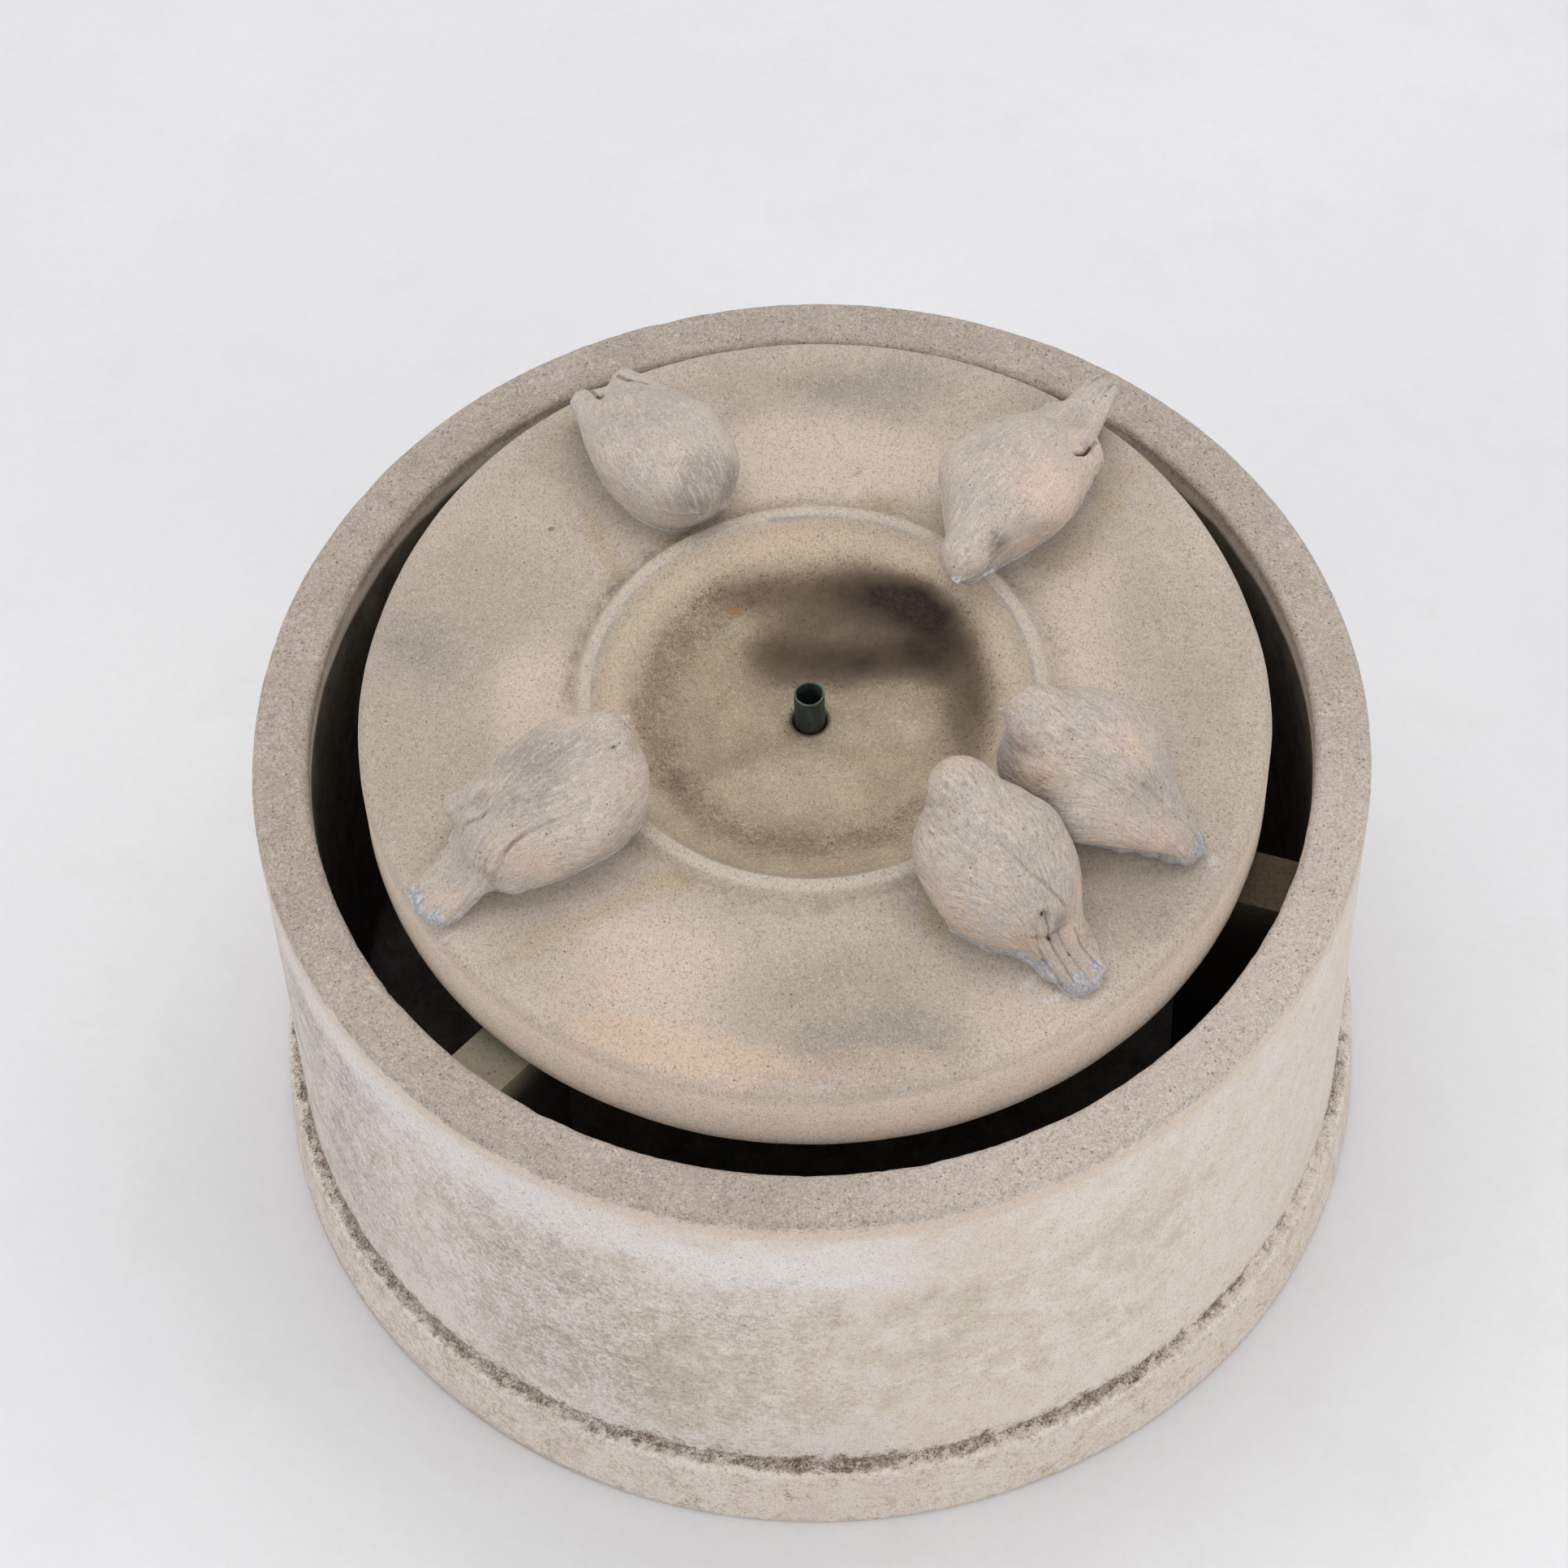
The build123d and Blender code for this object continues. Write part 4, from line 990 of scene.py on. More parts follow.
def ellip(p, c, r, yaw, pitch=0.0, low=1.0):
    q = p - np.asarray(c)
    cy, sy = np.cos(yaw), np.sin(yaw)
    x = q[:, 0] * cy + q[:, 1] * sy
    y = -q[:, 0] * sy + q[:, 1] * cy
    z = q[:, 2]
    cp, sp = np.cos(pitch), np.sin(pitch)
    x, z = x * cp + z * sp, -x * sp + z * cp
    rz = np.where(z < 0, r[2] * low, r[2])
    k0 = np.sqrt((x / r[0]) ** 2 + (y / r[1]) ** 2 + (z / rz) ** 2) + 1e-9
    k1 = np.sqrt((x / r[0] ** 2) ** 2 + (y / r[1] ** 2) ** 2 + (z / rz ** 2) ** 2) + 1e-9
    return k0 * (k0 - 1.0) / k1


def seg(p, a, b, ra, rb, power=2.0):
    a = np.asarray(a, float)
    b = np.asarray(b, float)
    d = b - a
    L = np.linalg.norm(d) + 1e-9
    d = d / L
    side = np.cross([0, 0, 1.0], d)
    side /= np.linalg.norm(side) + 1e-9
    up = np.cross(d, side)
    q = p - a
    l = q @ d
    t = np.clip(l / L, 0, 1)
    lo = l - t * L
    u = q @ side
    w = q @ up
    ru = ra[0] + (rb[0] - ra[0]) * t
    rw = ra[1] + (rb[1] - ra[1]) * t
    re = np.minimum(ru, rw)
    n = (np.abs(u / ru) ** power + np.abs(w / rw) ** power
         + np.abs(lo / (0.5 * (ru + rw))) ** power + 1e-12) ** (1.0 / power)
    return (n - 1.0) * re


def polydist(p, pts, plan=False):
    """Distance from points to a 3D line, or its plan distance."""
    m = np.array([1, 1, 0.0 if plan else 1.0])
    pts = np.array([(*c[:2], c[2] if len(c) > 2 else 0.0) for c in pts], float) * m
    q = p * m
    best = np.full(len(p), 1e9)
    for a, b in zip(pts[:-1], pts[1:]):
        ab = b - a
        t = np.clip(((q - a) @ ab) / (ab @ ab + 1e-9), 0, 1)
        best = np.minimum(best, np.linalg.norm(q - (a + t[:, None] * ab), axis=1))
    return best


BIRDS = {
    "bird_back_left": dict(
        body=(-111.0, 207.9, 511.3), body_r=(62.4, 41.7, 40.2), yaw=-1.058, pitch=0.046,
        breast=(-87.3, 195.0, 508.9), breast_r=(40.2, 40.9, 38.1), head=(-77.5, 171.6, 520.6), head_r=24.3,
        beak=(-58.6, 156.8, 509.0), wl_a=(-82.1, 220.8, 522.7), wl_b=(-130.4, 277.4, 506.0),
        wr_a=(-130.7, 199.1, 521.5), wr_b=(-160.4, 261.2, 503.1), w_r=(20.7, 10.8),
        tail_a=(-115.1, 235.4, 510.5), tail_b=(-137.2, 267.3, 497.6), tail_ra=(18.0, 9.0), tail_rb=(13.9, 4.8),
        extra=[((-158, 261, 499), (-137, 266, 502), (9.5, 9), (9.5, 8), 5.0),
               ((-110, 256, 514), (-132, 277, 507), (6.0, 6.5), (5.0, 5.5), 2.5)],
        carve=[([(-92.7, 162.2, 542), (-86, 156, 537), (-87.4, 148.7, 529), (-82, 147, 520)], 3.2, 1.6),
               ([(-100, 158, 540), (-90, 172, 545), (-76, 182, 544), (-60, 188, 536)], 2.4, 0.7),
               ([(-104, 170, 544), (-97, 166, 543), (-94, 172, 545)], 1.2, 0.8)],
        groove=[([(-157, 270), (-152.2, 262.6), (-146, 244)], 1.8, 4.0),
                ([(-135, 277), (-130.9, 273.3), (-122.2, 264.4), (-112.8, 254.4)], 1.5, 3.6)],
        crack=[([(-150.5, 257), (-147.4, 248)], 1.4), ([(-128, 270.5), (-118, 260)], 1.2)],
        # the dark patches round the head are painted shade on the tucked face; the broad one on the back is darker
        # stone
        peach_and_painted_light=[(-128, 178, 500, 16)], dark=[(-70, 160, 540, 26, 0.9), (-56, 166, 522, 22), (-80, 148, 524, 22, 0.9), (-96, 150, 520, 16, 0.6), (-118, 214, 552, 56, 0.42)],
        limes=[(-168, 262, 500, 12), (-70, 146, 505, 9)], lime_h=9.0, lime_dir=(-0.9, -0.42, 0.0), streak=0.2),
    "bird_back_right": dict(
        body=(156.0, 169.0, 511.9), body_r=(58.8, 48.7, 38.3), yaw=-2.216, pitch=0.071,
        breast=(137.4, 143.6, 509.1), breast_r=(42.9, 25.5, 34.8), head=(117.0, 99.0, 520.0), head_r=17.0,
        beak=(109.5, 77.1, 514.3), wl_a=(172.5, 137.5, 522.4), wl_b=(212.9, 194.2, 503.1),
        wr_a=(123.1, 170.3, 521.2), wr_b=(186.9, 229.5, 508.7), w_r=(22.9, 9.9),
        tail_a=(196.1, 206.9, 512.8), tail_b=(223.1, 249.5, 509.7), tail_ra=(19.9, 10.7), tail_rb=(12.7, 8.4),
        extra=[((142, 136, 520), (114.5, 95, 516), (24, 20), (14.5, 13), 8.0),
               ((120, 103, 500), (153, 128, 500), (9, 18), (10, 18), 8.0),
               ((200, 186, 508), (211, 199, 507), (12, 10), (10, 9), 4.0)],
        carve=[([(200, 238, 520), (211, 249, 519), (222, 259, 516), (226.5, 257.3, 513)], 1.2, 2.4),
               ([(219, 230, 521), (227.8, 245.5, 518), (234, 254, 514)], 1.3, 2.2),
               ([(208, 225, 524), (222, 243, 519), (229, 254, 515)], 1.1, 1.2),
               ([(146, 205, 536), (163.3, 222.2, 525), (180, 236, 513)], 1.6, 2.2),
               ([(134, 107, 537), (138.3, 105.7, 527), (141, 103, 517)], 3.0, 1.8)],
        groove=[([(201, 177.5), (207, 184), (213.7, 194.6), (218, 200)], 1.2, 4.5)],
        crack=[([(202, 178.5), (207, 184), (213, 193.5)], 1.3),
               ([(209, 247, 520), (213, 251, 519)], 1.4)],
        peach_and_painted_light=[(178, 148, 520, 36), (202, 186, 515, 22), (165, 122, 505, 26)],
        dark=[(139, 103, 522, 13), (126, 84, 508, 9), (212, 192, 520, 8, 0.8), (120, 96, 524, 16, 0.5), (205, 215, 522, 16, 0.5), (150, 172, 552, 44, 0.30)],
        limes=[(196, 150, 492, 15), (178, 128, 486, 12), (110, 76, 513, 7), (160, 112, 484, 10)], lime_h=13.0, lime_dir=(0.75, -0.66, 0.0), streak=0.35),
    "bird_front_left": dict(
        body=(-184.7, -103.6, 511.1), body_r=(74.6, 51.5, 40.5), yaw=0.675, pitch=0.047,
        breast=(-163.9, -88.4, 508.5), breast_r=(39.6, 49.6, 39.6), head=(-148.3, -71.7, 539.8), head_r=20.0,
        beak=(-128.5, -53.3, 540.8), wl_a=(-166.0, -72.7, 527.5), wl_b=(-252.5, -102.3, 506.3),
        wr_a=(-159.1, -131.1, 519.2), wr_b=(-213.2, -157.7, 496.3), w_r=(21.6, 10.1),
        tail_a=(-237.0, -138.0, 495.0), tail_b=(-266.5, -163.5, 484.5), tail_ra=(23.5, 9.5), tail_rb=(19.5, 8.6),
        carve=[([(-182, -141, 541), (-189.5, -144.2, 540), (-200, -148, 538), (-210, -152, 533), (-219, -158, 525)], 1.5, 2.8),
               ([(-219, -158.5, 525), (-223.5, -162, 515), (-227, -163, 501), (-230, -168, 492)], 2.6, 3.2),
               ([(-236, -119, 535), (-251, -111, 514), (-262, -110, 503)], 1.5, 1.1),
               ([(-252, -133, 514), (-246, -130, 524), (-235, -132, 534), (-225, -126.5, 541)], 1.9, 1.6),
               ([(-128, -73, 545), (-133, -68, 552), (-131, -60, 549)], 1.2, 1.2),
               ([(-142, -90, 552), (-136, -84, 549)], 1.4, 1.2)],
        groove=[([(-244 + d + 2.6 * k, -144 + d - 3.3 * k), (-262 + 2.9 * k, -157 - 3.9 * k), (-283 + 3.2 * k, -174 - 4.1 * k)], 1.0, g)
                for k, d, g in ((-3.9, 0, 0.5), (-2.4, 4, 0.7), (-1.2, -5, 0.4), (0.2, 2, 0.8), (1.3, -4, 0.6), (2.5, 6, 0.9),
                                (3.5, 3, 0.6), (4.6, 7, 0.9))],
        crack=[([(-129.5, -67, 549), (-131, -65, 549)], 1.3), ([(-141, -89, 552), (-138.5, -86, 551)], 1.0),
               ([(-233, -132, 535), (-227, -128, 540)], 1.1),
               ([(-208, -151, 535), (-214, -155, 530)], 1.0)],
        peach_and_painted_light=[(-204, -150, 520, 20), (-132, -90, 515, 30, 0.6), (-150, -100, 536, 24, 0.5), (-262, -170, 492, 12), (-186, -152, 512, 18), (-172, -60, 540, 20)],
        dark=[(-196, -95, 552, 40, 0.75), (-170, -84, 556, 26, 0.55), (-232, -116, 536, 12, 0.8), (-228, -156, 506, 9, 0.9), (-205, -124, 548, 30, 0.6)],
        limes=[(-283, -170, 484, 11), (-268, -182, 482, 9), (-288, -158, 484, 8)], lime_h=12.0, streak=0.5, tail_p=2.4,
        skirt=[[(-280, -158, 483), (-278, -171, 482), (-267, -178.5, 481), (-253, -173, 482)]]),
    "bird_front_right_a": dict(
        body=(130.4, -173.1, 513.7), body_r=(60.9, 52.8, 43.3), yaw=2.119, pitch=0.078,
        breast=(115.5, -146.6, 509.6), breast_r=(41.4, 45.0, 39.8), head=(105.8, -129.1, 543.1), head_r=25.6,
        beak=(96.0, -102.0, 537.0), wl_a=(94.8, -169.1, 521.0), wl_b=(158.0, -210.0, 498.0),
        wr_a=(151.6, -151.0, 522.3), wr_b=(179.0, -217.0, 495.0), w_r=(22.8, 9.0),
        tail_a=(163.5, -215.0, 492.0), tail_b=(184.0, -240.5, 481.0), tail_ra=(19.0, 8.0), tail_rb=(14.5, 6.8),
        carve=[([(134, -186, 556), (148.7, -200.7, 549), (161.4, -208.4, 539), (176, -213, 517)], 1.7, 1.5),
               ([(76, -135, 540), (88, -147, 553), (100, -158, 557), (112, -168, 559)], 4.2, 1.9),
               ([(149, -230, 510), (160, -225, 503), (168, -222, 504), (179, -217, 508)], 2.2, 1.8),
               ([(157.5, -222.7, 527), (158.5, -223.5, 526)], 1.5, 2.8)],
        groove=[([(158, -221), (161.8, -226.4), (175.7, -248.4), (178, -253)], 1.1, 1.7),
                ([(168, -222), (170.8, -227.4), (183.8, -244.6), (188, -251)], 1.0, 1.4),
                ([(180, -219), (183.3, -226.5), (194.4, -238.2), (199, -243)], 1.1, 1.7),
                ([(152, -228), (166, -247), (170, -253)], 1.0, 1.2)],
        crack=[([(156.5, -222.3, 527), (159, -223.8, 526)], 2.3), ([(157, -225, 504), (162, -226, 500)], 2.2),
               ([(161, -226, 498), (167, -236, 490)], 1.3), ([(171, -228, 498), (176, -235, 492)], 1.1)],
        # the patch at (104, -205, 494) is painted light on a flank that faces down; the others are peach tone
        peach_and_painted_light=[(108, -204, 506, 32), (142, -224, 504, 24), (178, -196, 508, 20), (100, -120, 560, 20, 0.5), (90, -186, 520, 20, 0.8), (104, -205, 494, 18), (178, -222, 500, 12)],
        dark=[(168, -216, 512, 9, 0.9), (158, -223, 526, 8, 0.7), (92, -150, 552, 13, 0.35), (150, -200, 540, 18, 0.3)],
        limes=[(182, -250, 482, 8), (194, -240, 483, 7), (160, -238, 484, 9), (124, -222, 484, 10), (104, -212, 483, 8),
               (142, -227, 484, 10)], lime_h=13.0, lime_dir=(-0.45, -0.89, 0.0), streak=0.85,
        skirt=[[(98, -202, 484), (122, -216.5, 483), (146, -224.5, 482), (161, -239.5, 481), (176, -250, 480), (186, -252, 480)],
               [(187, -206, 484), (191, -222, 483), (195, -240, 481), (190, -250, 480)]]),
    "bird_front_right_b": dict(
        body=(202.1, -82.3, 516.1), body_r=(54.7, 45.4, 43.7), yaw=2.365, pitch=0.122,
        breast=(172.5, -83.5, 508.3), breast_r=(42.4, 37.4, 37.8), head=(163.1, -68.8, 544.6), head_r=24.0,
        beak=(135.3, -58.4, 541.3), wl_a=(190.0, -132.3, 517.9), wl_b=(258.0, -143.4, 492.5),
        wr_a=(222.6, -78.4, 520.4), wr_b=(260.5, -132.7, 495.8), w_r=(21.9, 9.4), w_k=15.0,
        tail_a=(250.0, -131.8, 489.8), tail_b=(265.5, -139.9, 484.0), tail_ra=(11.0, 8.1), tail_rb=(9.5, 7.0),
        carve=[([(228, -116, 537), (234.5, -120.9, 530), (248.7, -124, 513), (262, -134, 498)], 1.5, 1.6),
               ([(134, -76, 526), (143, -86, 534), (152, -92, 538)], 5.4, 1.9),
               ([(200, -119, 526), (233.8, -131, 504), (258, -136, 492)], 2.4, 0.7),
               ([(176, -50, 556), (184, -56, 557)], 3.4, 2.0)],
        groove=[([(252, -128), (270, -141), (276, -146)], 1.0, 1.1)],
        crack=[([(258, -136, 493), (266, -139, 490)], 1.4)],
        peach_and_painted_light=[(205, -142, 502, 30), (240, -146, 494, 24), (166, -102, 530, 22), (150, -62, 556, 12, 0.6), (226, -96, 548, 20, 0.7), (156, -84, 544, 14, 0.8)],
        # the dark patches are painted shade on the breast under the head
        dark=[(136, -88, 512, 26), (148, -104, 506, 20, 0.9)],
        limes=[(270, -141, 484, 14), (256, -148, 482, 11), (236, -152, 482, 9), (216, -154, 482, 8)], lime_h=11.0, lime_dir=(0.0, -1.0, 0.0), streak=0.8,
        skirt=[[(188, -132, 485), (217, -138, 484), (237, -141, 483), (252, -147, 482), (264, -148, 481), (272, -140, 481), (268, -125, 483)]]),
}


def bird_field(p, b, carve=True):
    f = ellip(p, b["body"], b["body_r"], b["yaw"], b["pitch"], low=1.25)
    f = smin(f, ellip(p, b["breast"], b["breast_r"], b["yaw"], 0.0, low=1.2), 16.0)
    hr = b["head_r"]
    f = smin(f, ellip(p, b["head"], (hr * 1.06, hr, hr * 0.95), b["yaw"]), 12.0)
    hb = np.asarray(b["head"]) + (np.asarray(b["beak"]) - np.asarray(b["head"])) * 0.45
    f = smin(f, seg(p, hb, b["beak"], (8.0, 7.5), (1.8, 1.6)), 6.0)
    wr = b["w_r"]
    for s in ("wl", "wr"):
        f = smin(f, seg(p, b[s + "_a"], b[s + "_b"], (wr[0], wr[0] * 0.9), (wr[1], wr[1] * 0.8)), b.get("w_k", 9.0))
    f = smin(f, seg(p, b["tail_a"], b["tail_b"], b["tail_ra"], b["tail_rb"], b.get("tail_p", 3.0)), 8.0)
    for a0, a1, ra, rb, k in b.get("extra", ()):
        f = smin(f, seg(p, a0, a1, ra, rb), k)
    for pts in b.get("skirt", ()):
        for a0, a1 in zip(pts[:-1], pts[1:]):
            f = smin(f, seg(p, a0, a1, (3.8, 3.2), (3.8, 3.2)), 5.0)
    if carve:
        f = f + carved(p, b)
    return f


def carved(p, b):
    """How deep the modelled creases go at p (mm)."""
    d = np.zeros(len(p))
    for pts, width, depth in b["carve"]:
        d += depth * np.exp(-(polydist(p, pts) / width) ** 2)
    for pts, width, depth in b.get("groove", ()):
        d += depth * np.exp(-(polydist(p, pts, True) / width) ** 2)
    return d


CAMERA_SIDE = np.array([-40.0, -2380.0, 3836.0])


def bird_solid(p, b, carve=True):
    """The bird with its underside filled down to the deck behind its own outline."""
    f = bird_field(p, b, carve)
    low = p[:, 2] < 516.0
    if low.any():
        q = p[low]
        u = CAMERA_SIDE - np.asarray(b["body"])
        u = u / np.linalg.norm(u)
        vert = np.full(len(q), 1e9)
        slant = np.full(len(q), 1e9)
        for t in (0.0, 6.0, 12.0, 18.0, 25.0, 33.0):
            vert = np.minimum(vert, bird_field(q + np.array([0, 0, t]), b, False))
            slant = np.minimum(slant, bird_field(q + u * t * 1.15, b, False))
        f[low] = smin(f[low], np.maximum(vert, slant) + 0.3, 3.0)
    return f


def surface_net(fn, rough, lo, hi, h, margin):
    """Quad mesh of fn = 0 in a box; rough is a cheap field that is within margin of fn near the surface."""
    step = 5
    n = [int(math.ceil((hi[i] - lo[i]) / (h * step))) for i in range(3)]
    ax = [lo[i] + h * np.arange(n[i] * step) for i in range(3)]
    nx, ny, nz = (len(a) for a in ax)
    mid = [lo[i] + h * (step * np.arange(n[i]) + (step - 1) / 2) for i in range(3)]
    gm = np.stack(np.meshgrid(*mid, indexing="ij"), -1).reshape(-1, 3)
    cm = rough(gm).reshape(n)
    near = np.abs(cm) < h * step * 0.87 * 1.15 + margin
    full = np.repeat(np.repeat(np.repeat(cm, step, 0), step, 1), step, 2)
    mask = np.repeat(np.repeat(np.repeat(near, step, 0), step, 1), step, 2)
    ii = np.argwhere(mask)
    pts = np.array(lo) + h * ii
    vals = np.concatenate([fn(pts[k:k + 150000]) for k in range(0, len(pts), 150000)])
    val = full
    val[mask] = vals
    ins = val < 0
    c = np.zeros((nx - 1, ny - 1, nz - 1), int)
    for dx in (0, 1):
        for dy in (0, 1):
            for dz in (0, 1):
                c += ins[dx:nx - 1 + dx, dy:ny - 1 + dy, dz:nz - 1 + dz]
    active = (c > 0) & (c < 8)
    idx = -np.ones(active.shape, int)
    cells = np.argwhere(active)
    idx[active] = np.arange(len(cells))
    acc = np.zeros((len(cells), 3))
    cnt = np.zeros(len(cells))
    corners = [(dx, dy, dz) for dx in (0, 1) for dy in (0, 1) for dz in (0, 1)]
    for a in corners:
        for axis in range(3):
            if a[axis] == 1:
                continue
            b = list(a)
            b[axis] = 1
            va = val[cells[:, 0] + a[0], cells[:, 1] + a[1], cells[:, 2] + a[2]]
            vb = val[cells[:, 0] + b[0], cells[:, 1] + b[1], cells[:, 2] + b[2]]
            cross = (va < 0) != (vb < 0)
            t = np.where(cross, va / np.where(cross, va - vb, 1), 0)
            pt = cells + np.array(a, float)
            pt[:, axis] += t
            acc[cross] += pt[cross]
            cnt[cross] += 1
    verts = acc / cnt[:, None] * h + np.array(lo)
    quads = []
    for axis in range(3):
        o = [(0, 0, 0)] * 4
        u, w = [(1, 2), (2, 0), (0, 1)][axis]
        sl0 = [slice(None)] * 3
        sl1 = [slice(None)] * 3
        sl0[axis] = slice(0, -1)
        sl1[axis] = slice(1, None)
        a, b = ins[tuple(sl0)], ins[tuple(sl1)]
        e = np.argwhere(a != b)
        ok = (e[:, u] > 0) & (e[:, w] > 0) & (e[:, u] < (nx, ny, nz)[u] - 1) & (e[:, w] < (nx, ny, nz)[w] - 1)
        e = e[ok]
        flip = a[e[:, 0], e[:, 1], e[:, 2]]
        qs = []
        for du, dw in ((-1, -1), (0, -1), (0, 0), (-1, 0)):
            k = e.copy()
            k[:, u] += du
            k[:, w] += dw
            qs.append(idx[k[:, 0], k[:, 1], k[:, 2]])
        qd = np.stack(qs, 1)
        qd[~flip] = qd[~flip][:, ::-1]
        quads.append(qd)
    quads = np.concatenate(quads)
    return verts, quads[(quads >= 0).all(1)]


def build_bird(name, seed):
    b = BIRDS[name]
    fwd = np.array([math.cos(b["yaw"]), math.sin(b["yaw"]), 0.0])
    left = np.array([-fwd[1], fwd[0], 0.0])

    def flow(p):
        """Distance along the back and round it, in mm: feathers run along the first."""
        q = p - np.asarray(b["body"])
        s = q @ fwd
        t = q @ left
        ang = np.arctan2(t, q[:, 2] + 52.0)
        return s, ang * 46.0 * (1.0 + 0.9 * sstep(10, -75, s))

    def ground(p):
        return deck_height(np.hypot(p[:, 0] - TOP_CX, p[:, 1])) - 1.6

    def rough(p):
        return np.maximum(bird_solid(p, b, False), ground(p) - p[:, 2])

    def fn(p):
        f = bird_solid(p, b)
        above = p[:, 2] - ground(p) - 1.6
        # slight hand-modelled unevenness
        f = f + fbm(p / 24.0, 2, seed) * 1.1
        s, v = flow(p)
        wob = fbm(p / 30.0, 2, seed + 3) * 0.6
        streak = gnoise(np.stack([s / 24.0 + wob, v / 2.6, wob], 1), seed + 5)
        streak = streak + 0.6 * gnoise(np.stack([s / 14.0, v / 1.5, wob * 2], 1), seed + 6)
        f = f + streak * 0.36 * b.get("streak", 0.9) * sstep(4, 12, above)
        f = f + fbm(p / 5.0, 2, seed + 9) * 0.32
        # thin worn lip where the bird sits on the deck
        f = f - 1.7 * np.exp(-np.clip(above, 0, 50) / 2.2)
        return np.maximum(f, ground(p) - p[:, 2])

    pts = np.array([b[k] for k in ("body", "breast", "head", "beak", "wl_b", "wr_b", "tail_b")])
    lo = pts.min(0) - 62
    hi = pts.max(0) + 62
    lo[2], hi[2] = 466.0, 582.0
    # trim the box to the bird
    grid = np.stack(np.meshgrid(*[np.arange(lo[i], hi[i], 6.0) for i in range(3)], indexing="ij"), -1).reshape(-1, 3)
    inside = grid[bird_field(grid, b, False) < 4.0]
    lo = np.maximum(inside.min(0) - 9, lo)
    hi = np.minimum(inside.max(0) + 9, hi)
    h = 1.0
    v, q = surface_net(fn, rough, lo, hi, h, 4.5)
    # two corrector steps put the points on the surface itself
    for _ in range(2):
        f0 = fn(v)
        e = 0.25
        g = np.stack([fn(v + np.eye(3)[i] * e) - f0 for i in range(3)], 1) / e
        step = f0 / np.maximum((g * g).sum(1), 0.3)
        step = np.clip(step, -0.45 * h, 0.45 * h)
        v = v - g * step[:, None]
    ob = new_object(name + "_cast", v, q)
    # keep the one closed shell
    bm = bmesh.new()
    bm.from_mesh(ob.data)
    seen, parts = set(), []
    bm.verts.ensure_lookup_table()
    for vert in bm.verts:
        if vert.index in seen:
            continue
        stack, comp = [vert], []
        seen.add(vert.index)
        while stack:
            w = stack.pop()
            comp.append(w)
            for e in w.link_edges:
                o = e.other_vert(w)
                if o.index not in seen:
                    seen.add(o.index)
                    stack.append(o)
        parts.append(comp)
    parts.sort(key=len, reverse=True)
    extra = [w for comp in parts[1:] for w in comp]
    if extra:
        bmesh.ops.delete(bm, geom=extra, context="VERTS")
    bmesh.ops.recalc_face_normals(bm, faces=bm.faces)
    bm.to_mesh(ob.data)
    bm.free()
    co = coords(ob)
    # masks
    gz = deck_height(np.hypot(co[:, 0] - TOP_CX, co[:, 1]))
    above = co[:, 2] - gz
    nr = normals(ob)
    # crease depth sets the painted shade in the creases
    fine_cuts = dict(b, carve=[c for c in b["carve"] if c[1] < 2.3])
    crease_shade = np.maximum(sstep(0.30, 2.0, carved(co, fine_cuts)), 0.35 * sstep(0.6, 3.0, carved(co, b)))
    # mask of the cracks and pits, painted near-black as shade
    crack_shade = np.zeros(len(co))
    for pts_, w_ in b.get("crack", ()):
        flat = len(pts_[0]) == 2
        crack_shade = np.maximum(crack_shade, (1 - sstep(w_ * 0.5, w_, polydist(co, pts_, flat))) * ((nr[:, 2] > -0.2) if flat else 1))
    peach_and_painted_light = np.zeros(len(co))
    for x, y, z, r, *k in b["peach_and_painted_light"]:
        peach_and_painted_light = np.maximum(peach_and_painted_light, (k[0] if k else 1.0) * (1 - sstep(0.15 * r, 1.6 * r, np.linalg.norm(co - (x, y, z), axis=1))))
    dark = np.zeros(len(co))
    for x, y, z, r, *k in b["dark"]:
        dark = np.maximum(dark, (k[0] if k else 1.0) * (1 - sstep(0.2 * r, 1.5 * r, np.linalg.norm(co - (x, y, z), axis=1))))
    limeh = b["lime_h"]
    facing = sstep(0.05, 0.55, nr @ np.array(b.get("lime_dir", (-0.25, -0.97, 0.0))))
    lime = (1 - sstep(limeh * 0.6, limeh, above + 3.0 * fbm(co / 11.0, 2, seed + 13))) * facing
    lime = np.maximum(lime, 0.8 * (1 - sstep(1.5, 4.0, above + 1.5 * fbm(co / 9.0, 2, seed + 14))))
    for x, y, z, r in b.get("limes", ()):
        lime = np.maximum(lime, (1 - sstep(0.55 * r, 1.2 * r, np.linalg.norm(co - (x, y, z), axis=1)
                                           + 3.0 * fbm(co / 7.0, 2, seed + 17))))
    for pts_ in b.get("skirt", ()):
        lime = np.maximum(lime, (1 - sstep(4.0, 7.5, polydist(co, pts_, True) + 3.0 * fbm(co / 8.0, 2, seed + 18))) * (1 - sstep(9, 15, above)))
    attr(ob, "tone", (peach_and_painted_light * (0.75 + 0.9 * fbm(co / 14.0, 3, seed + 15)), lime, crease_shade, dark * 0.9))
    attr(ob, "mark", (crack_shade, 1 - sstep(0.5, 5.0, above), 0 * crack_shade + b.get("streak", 0.9), 0 * crack_shade))
    s, w = flow(co)
    fl = ob.data.attributes.new("flow", "FLOAT_VECTOR", "POINT")
    fl.data.foreach_set("vector", np.stack([s * MM, w * MM, 0 * s + seed * 0.1], 1).ravel())
    set_coords(ob, co * MM)
    ob.data.materials.append(BIRD_MAT)
    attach(ob, "top")
    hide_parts(name)
    return ob


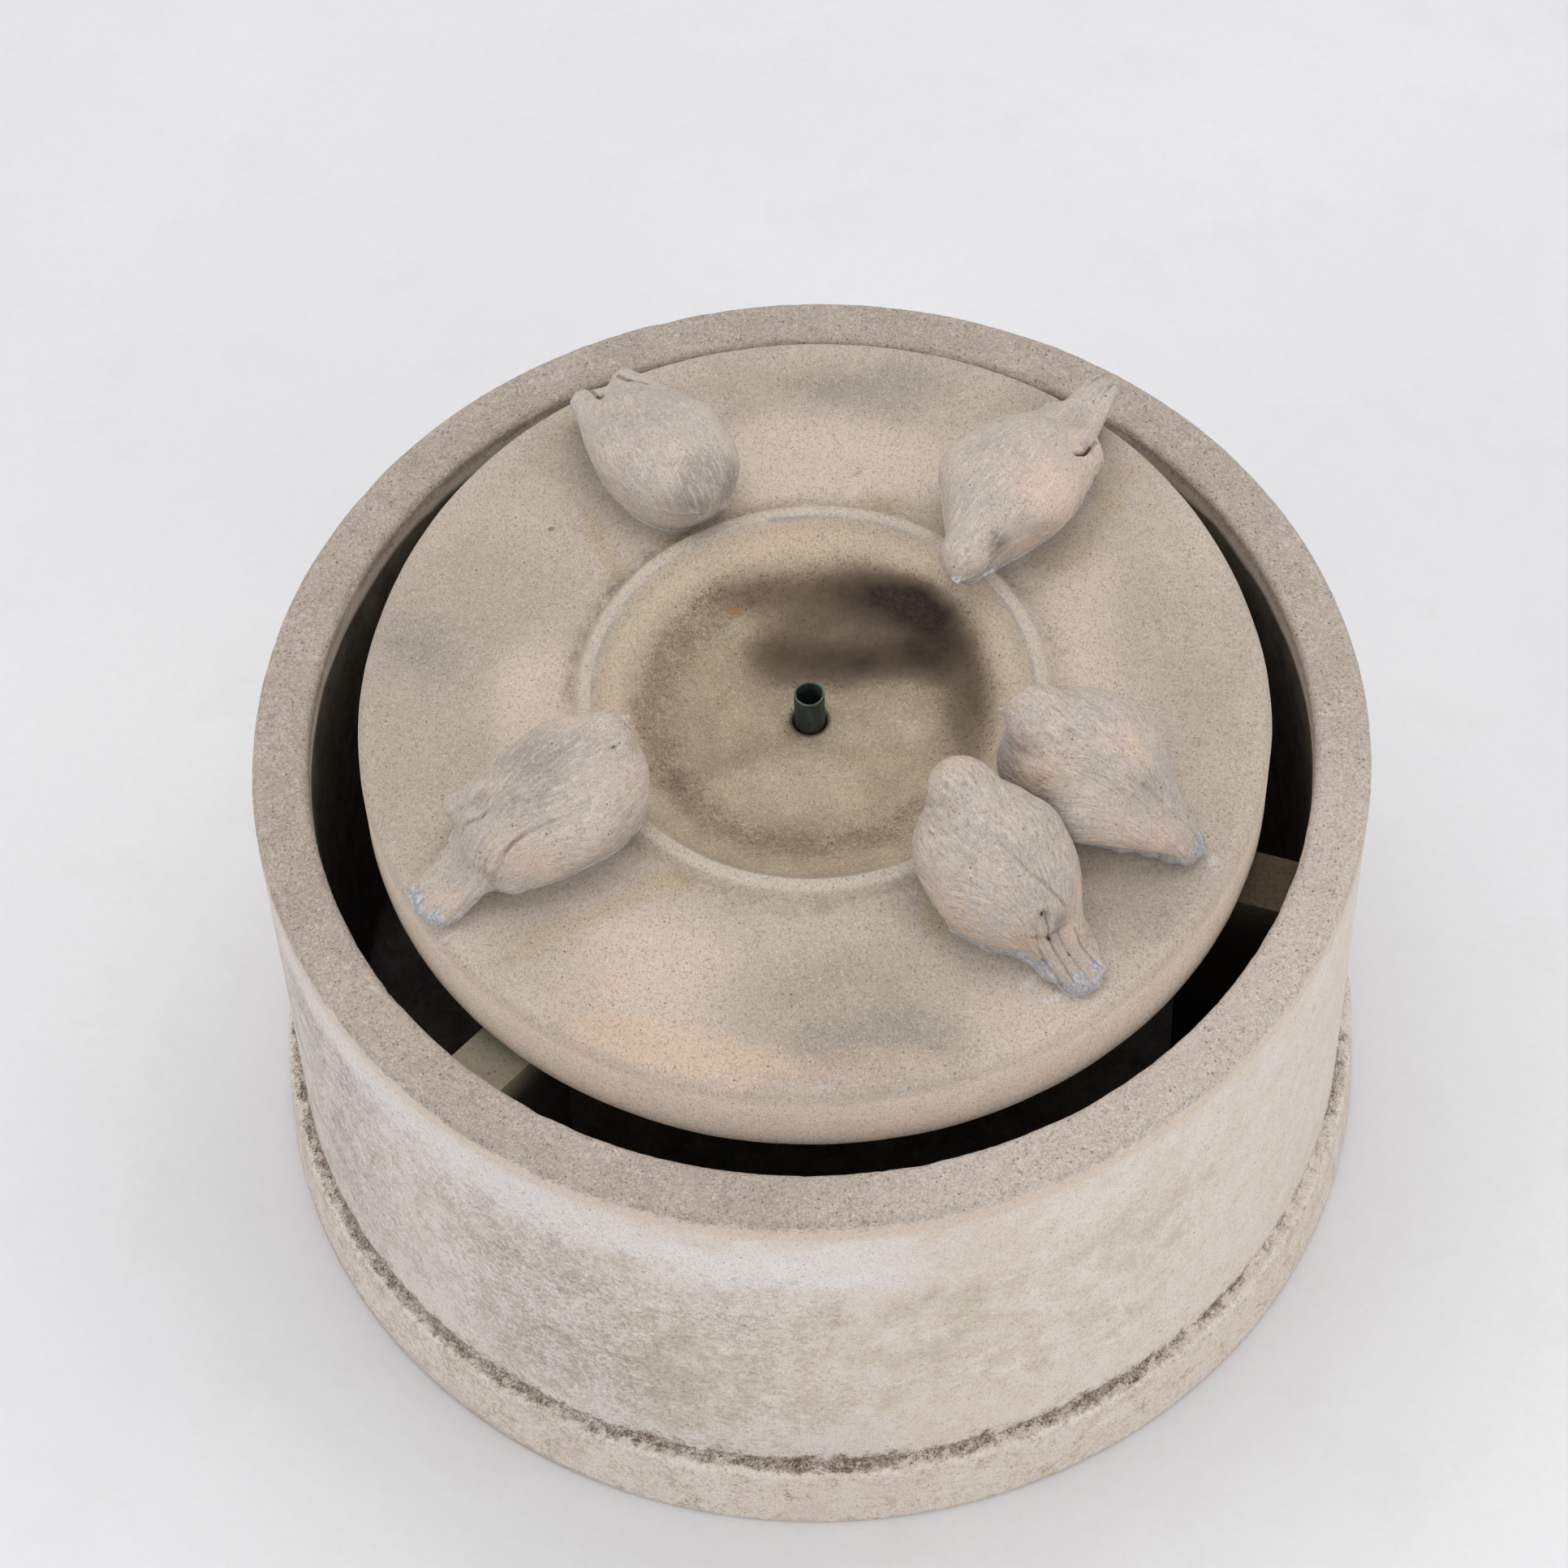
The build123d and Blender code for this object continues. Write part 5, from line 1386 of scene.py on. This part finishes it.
# ------------------------------------------------------------------ copper riser pipe
def build_pipe():
    line = rounded([(9.5, 322, 0, 6), (11.1, 322, 0.5, 1), (11.1, 454, 0, 6), (11.1, 487, 0.5, 1.2),
                    (9.5, 487, 0.5, 1), (9.5, 454, 0, 1.2), (9.5, 322, 0, 6)], 3)
    nseg = 72
    v, q = lathe_grid(line[:-1], nseg)
    n = len(line) - 1
    wall = [((n - 1) * nseg + k, (n - 1) * nseg + (k + 1) % nseg, (k + 1) % nseg, k) for k in range(nseg)]
    ob = new_object("riser_pipe_copper", v, [tuple(f) for f in q] + wall)
    bm = bmesh.new()
    bm.from_mesh(ob.data)
    bmesh.ops.recalc_face_normals(bm, faces=bm.faces)
    bm.to_mesh(ob.data)
    bm.free()
    co = coords(ob)
    nr = normals(ob)
    topm = sstep(452, 470, co[:, 2])
    d = fbm(co / 5.0, 3, 81) * 0.16 * topm
    # hand-cut end, slightly out of round
    th = np.arctan2(co[:, 1], co[:, 0])
    co2 = co + nr * d[:, None]
    co2[:, 2] += sstep(480, 487, co[:, 2]) * (0.35 * np.sin(th * 2 + 0.8) + 0.2 * fbm(co / 3.0, 2, 83))
    oval = 1 + 0.012 * np.cos(2 * th - 0.6) * sstep(440, 487, co[:, 2])
    co2[:, 0] *= oval
    co2[:, 1] *= oval
    set_coords(ob, co2 * MM)
    ob.data.materials.append(mat_copper())
    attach(ob, "top")
    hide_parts("riser_pipe")
    return ob


# ------------------------------------------------------------------ finishes for the carried-over CAD pieces
def set_material(node, mat):
    ob = NODES[node]
    if not ob.material_slots:
        ob.data.materials.append(mat)
    for s in ob.material_slots:
        s.material = mat


basin = build_basin()
top = build_top()
BIRD_MAT = mat_bird()
for i, bird_name in enumerate(BIRDS):
    build_bird(bird_name, 100 + 20 * i)
build_pipe()

block = mat_block()
for n in ("support_pier_back", "support_pier_left", "support_pier_right"):
    set_material(n, block)
rubber = mat_plastic("black_rubber", lin(34, 33, 32), lin(52, 50, 48), 0.8, 0.0004, 500.0, 0.4)
for n in ("support_pads", "drain_stopper", "pipe_seal", "volute_oring", "rear_bush", "front_bush", "cord_gland",
          "suction_cups"):
    set_material(n, rubber)
housing = mat_plastic("pump_housing_plastic", lin(38, 40, 43), lin(52, 54, 57), 0.5, 0.0003, 1100.0, 0.25)
for n in ("pump_body", "pump_volute", "outlet_barb", "intake_cover"):
    set_material(n, housing)
set_material("flow_dial", mat_plastic("dial_plastic_blue", lin(60, 84, 112), lin(78, 100, 128), 0.4, 0.0002, 1100.0, 0.15))
set_material("impeller", mat_plastic("impeller_plastic", lin(206, 205, 200), lin(222, 221, 216), 0.35, 0.00015, 1100.0, 0.15))
set_material("rotor_magnet", mat_plastic("ferrite_magnet", lin(58, 57, 60), lin(76, 75, 78), 0.6, 0.0002, 900.0, 0.1))
set_material("rotor_shaft", mat_plastic("ceramic_shaft", lin(226, 223, 214), lin(238, 235, 228), 0.3, 0.0001, 900.0, 0.05))
steel = mat_steel()
set_material("hose_clamp", steel)
set_material("clamp_screw", steel)
set_material("stator_core", mat_core())
set_material("stator_coils", mat_coil())
set_material("supply_tube", mat_tube())


# ------------------------------------------------------------------ stage: pale floor and soft light
def build_stage():
    bm = bmesh.new()
    bmesh.ops.create_grid(bm, x_segments=64, y_segments=64, size=6.0)
    me = bpy.data.meshes.new("floor")
    bm.to_mesh(me)
    bm.free()
    ob = bpy.data.objects.new("floor", me)
    ob.location = (0, 0, -0.0004)
    scene.collection.objects.link(ob)
    ob.data.materials.append(mat_floor())
    w = bpy.data.worlds.new("studio")
    scene.world = w
    w.use_nodes = True
    bg = w.node_tree.nodes["Background"]
    bg.inputs[0].default_value = (0.975, 0.985, 1.0, 1)
    bg.inputs[1].default_value = 0.74

    def area(name, loc, target, size, power, col=(1, 1, 1)):
        li = bpy.data.lights.new(name, "AREA")
        li.shape = "RECTANGLE"
        li.size, li.size_y = size
        li.energy = power
        li.color = col
        o = bpy.data.objects.new(name, li)
        o.location = loc
        d = Vector(target) - Vector(loc)
        o.rotation_euler = d.to_track_quat("-Z", "Y").to_euler()
        scene.collection.objects.link(o)

    area("softbox_right", (2.9, -1.7, 1.8), (0, 0, 0.25), (2.2, 2.0), 30, (1.0, 0.985, 0.965))
    area("softbox_left", (-3.0, -1.2, 1.7), (0, 0, 0.25), (2.2, 1.8), 24, (1.0, 0.985, 0.97))
    area("softbox_front", (-0.3, -3.4, 1.6), (0, 0, 0.25), (2.6, 1.8), 14, (1.0, 0.985, 0.965))
    area("softbox_top", (0.1, 0.9, 3.2), (0, 0.1, 0.3), (2.6, 2.2), 40, (1.0, 0.99, 0.975))


build_stage()
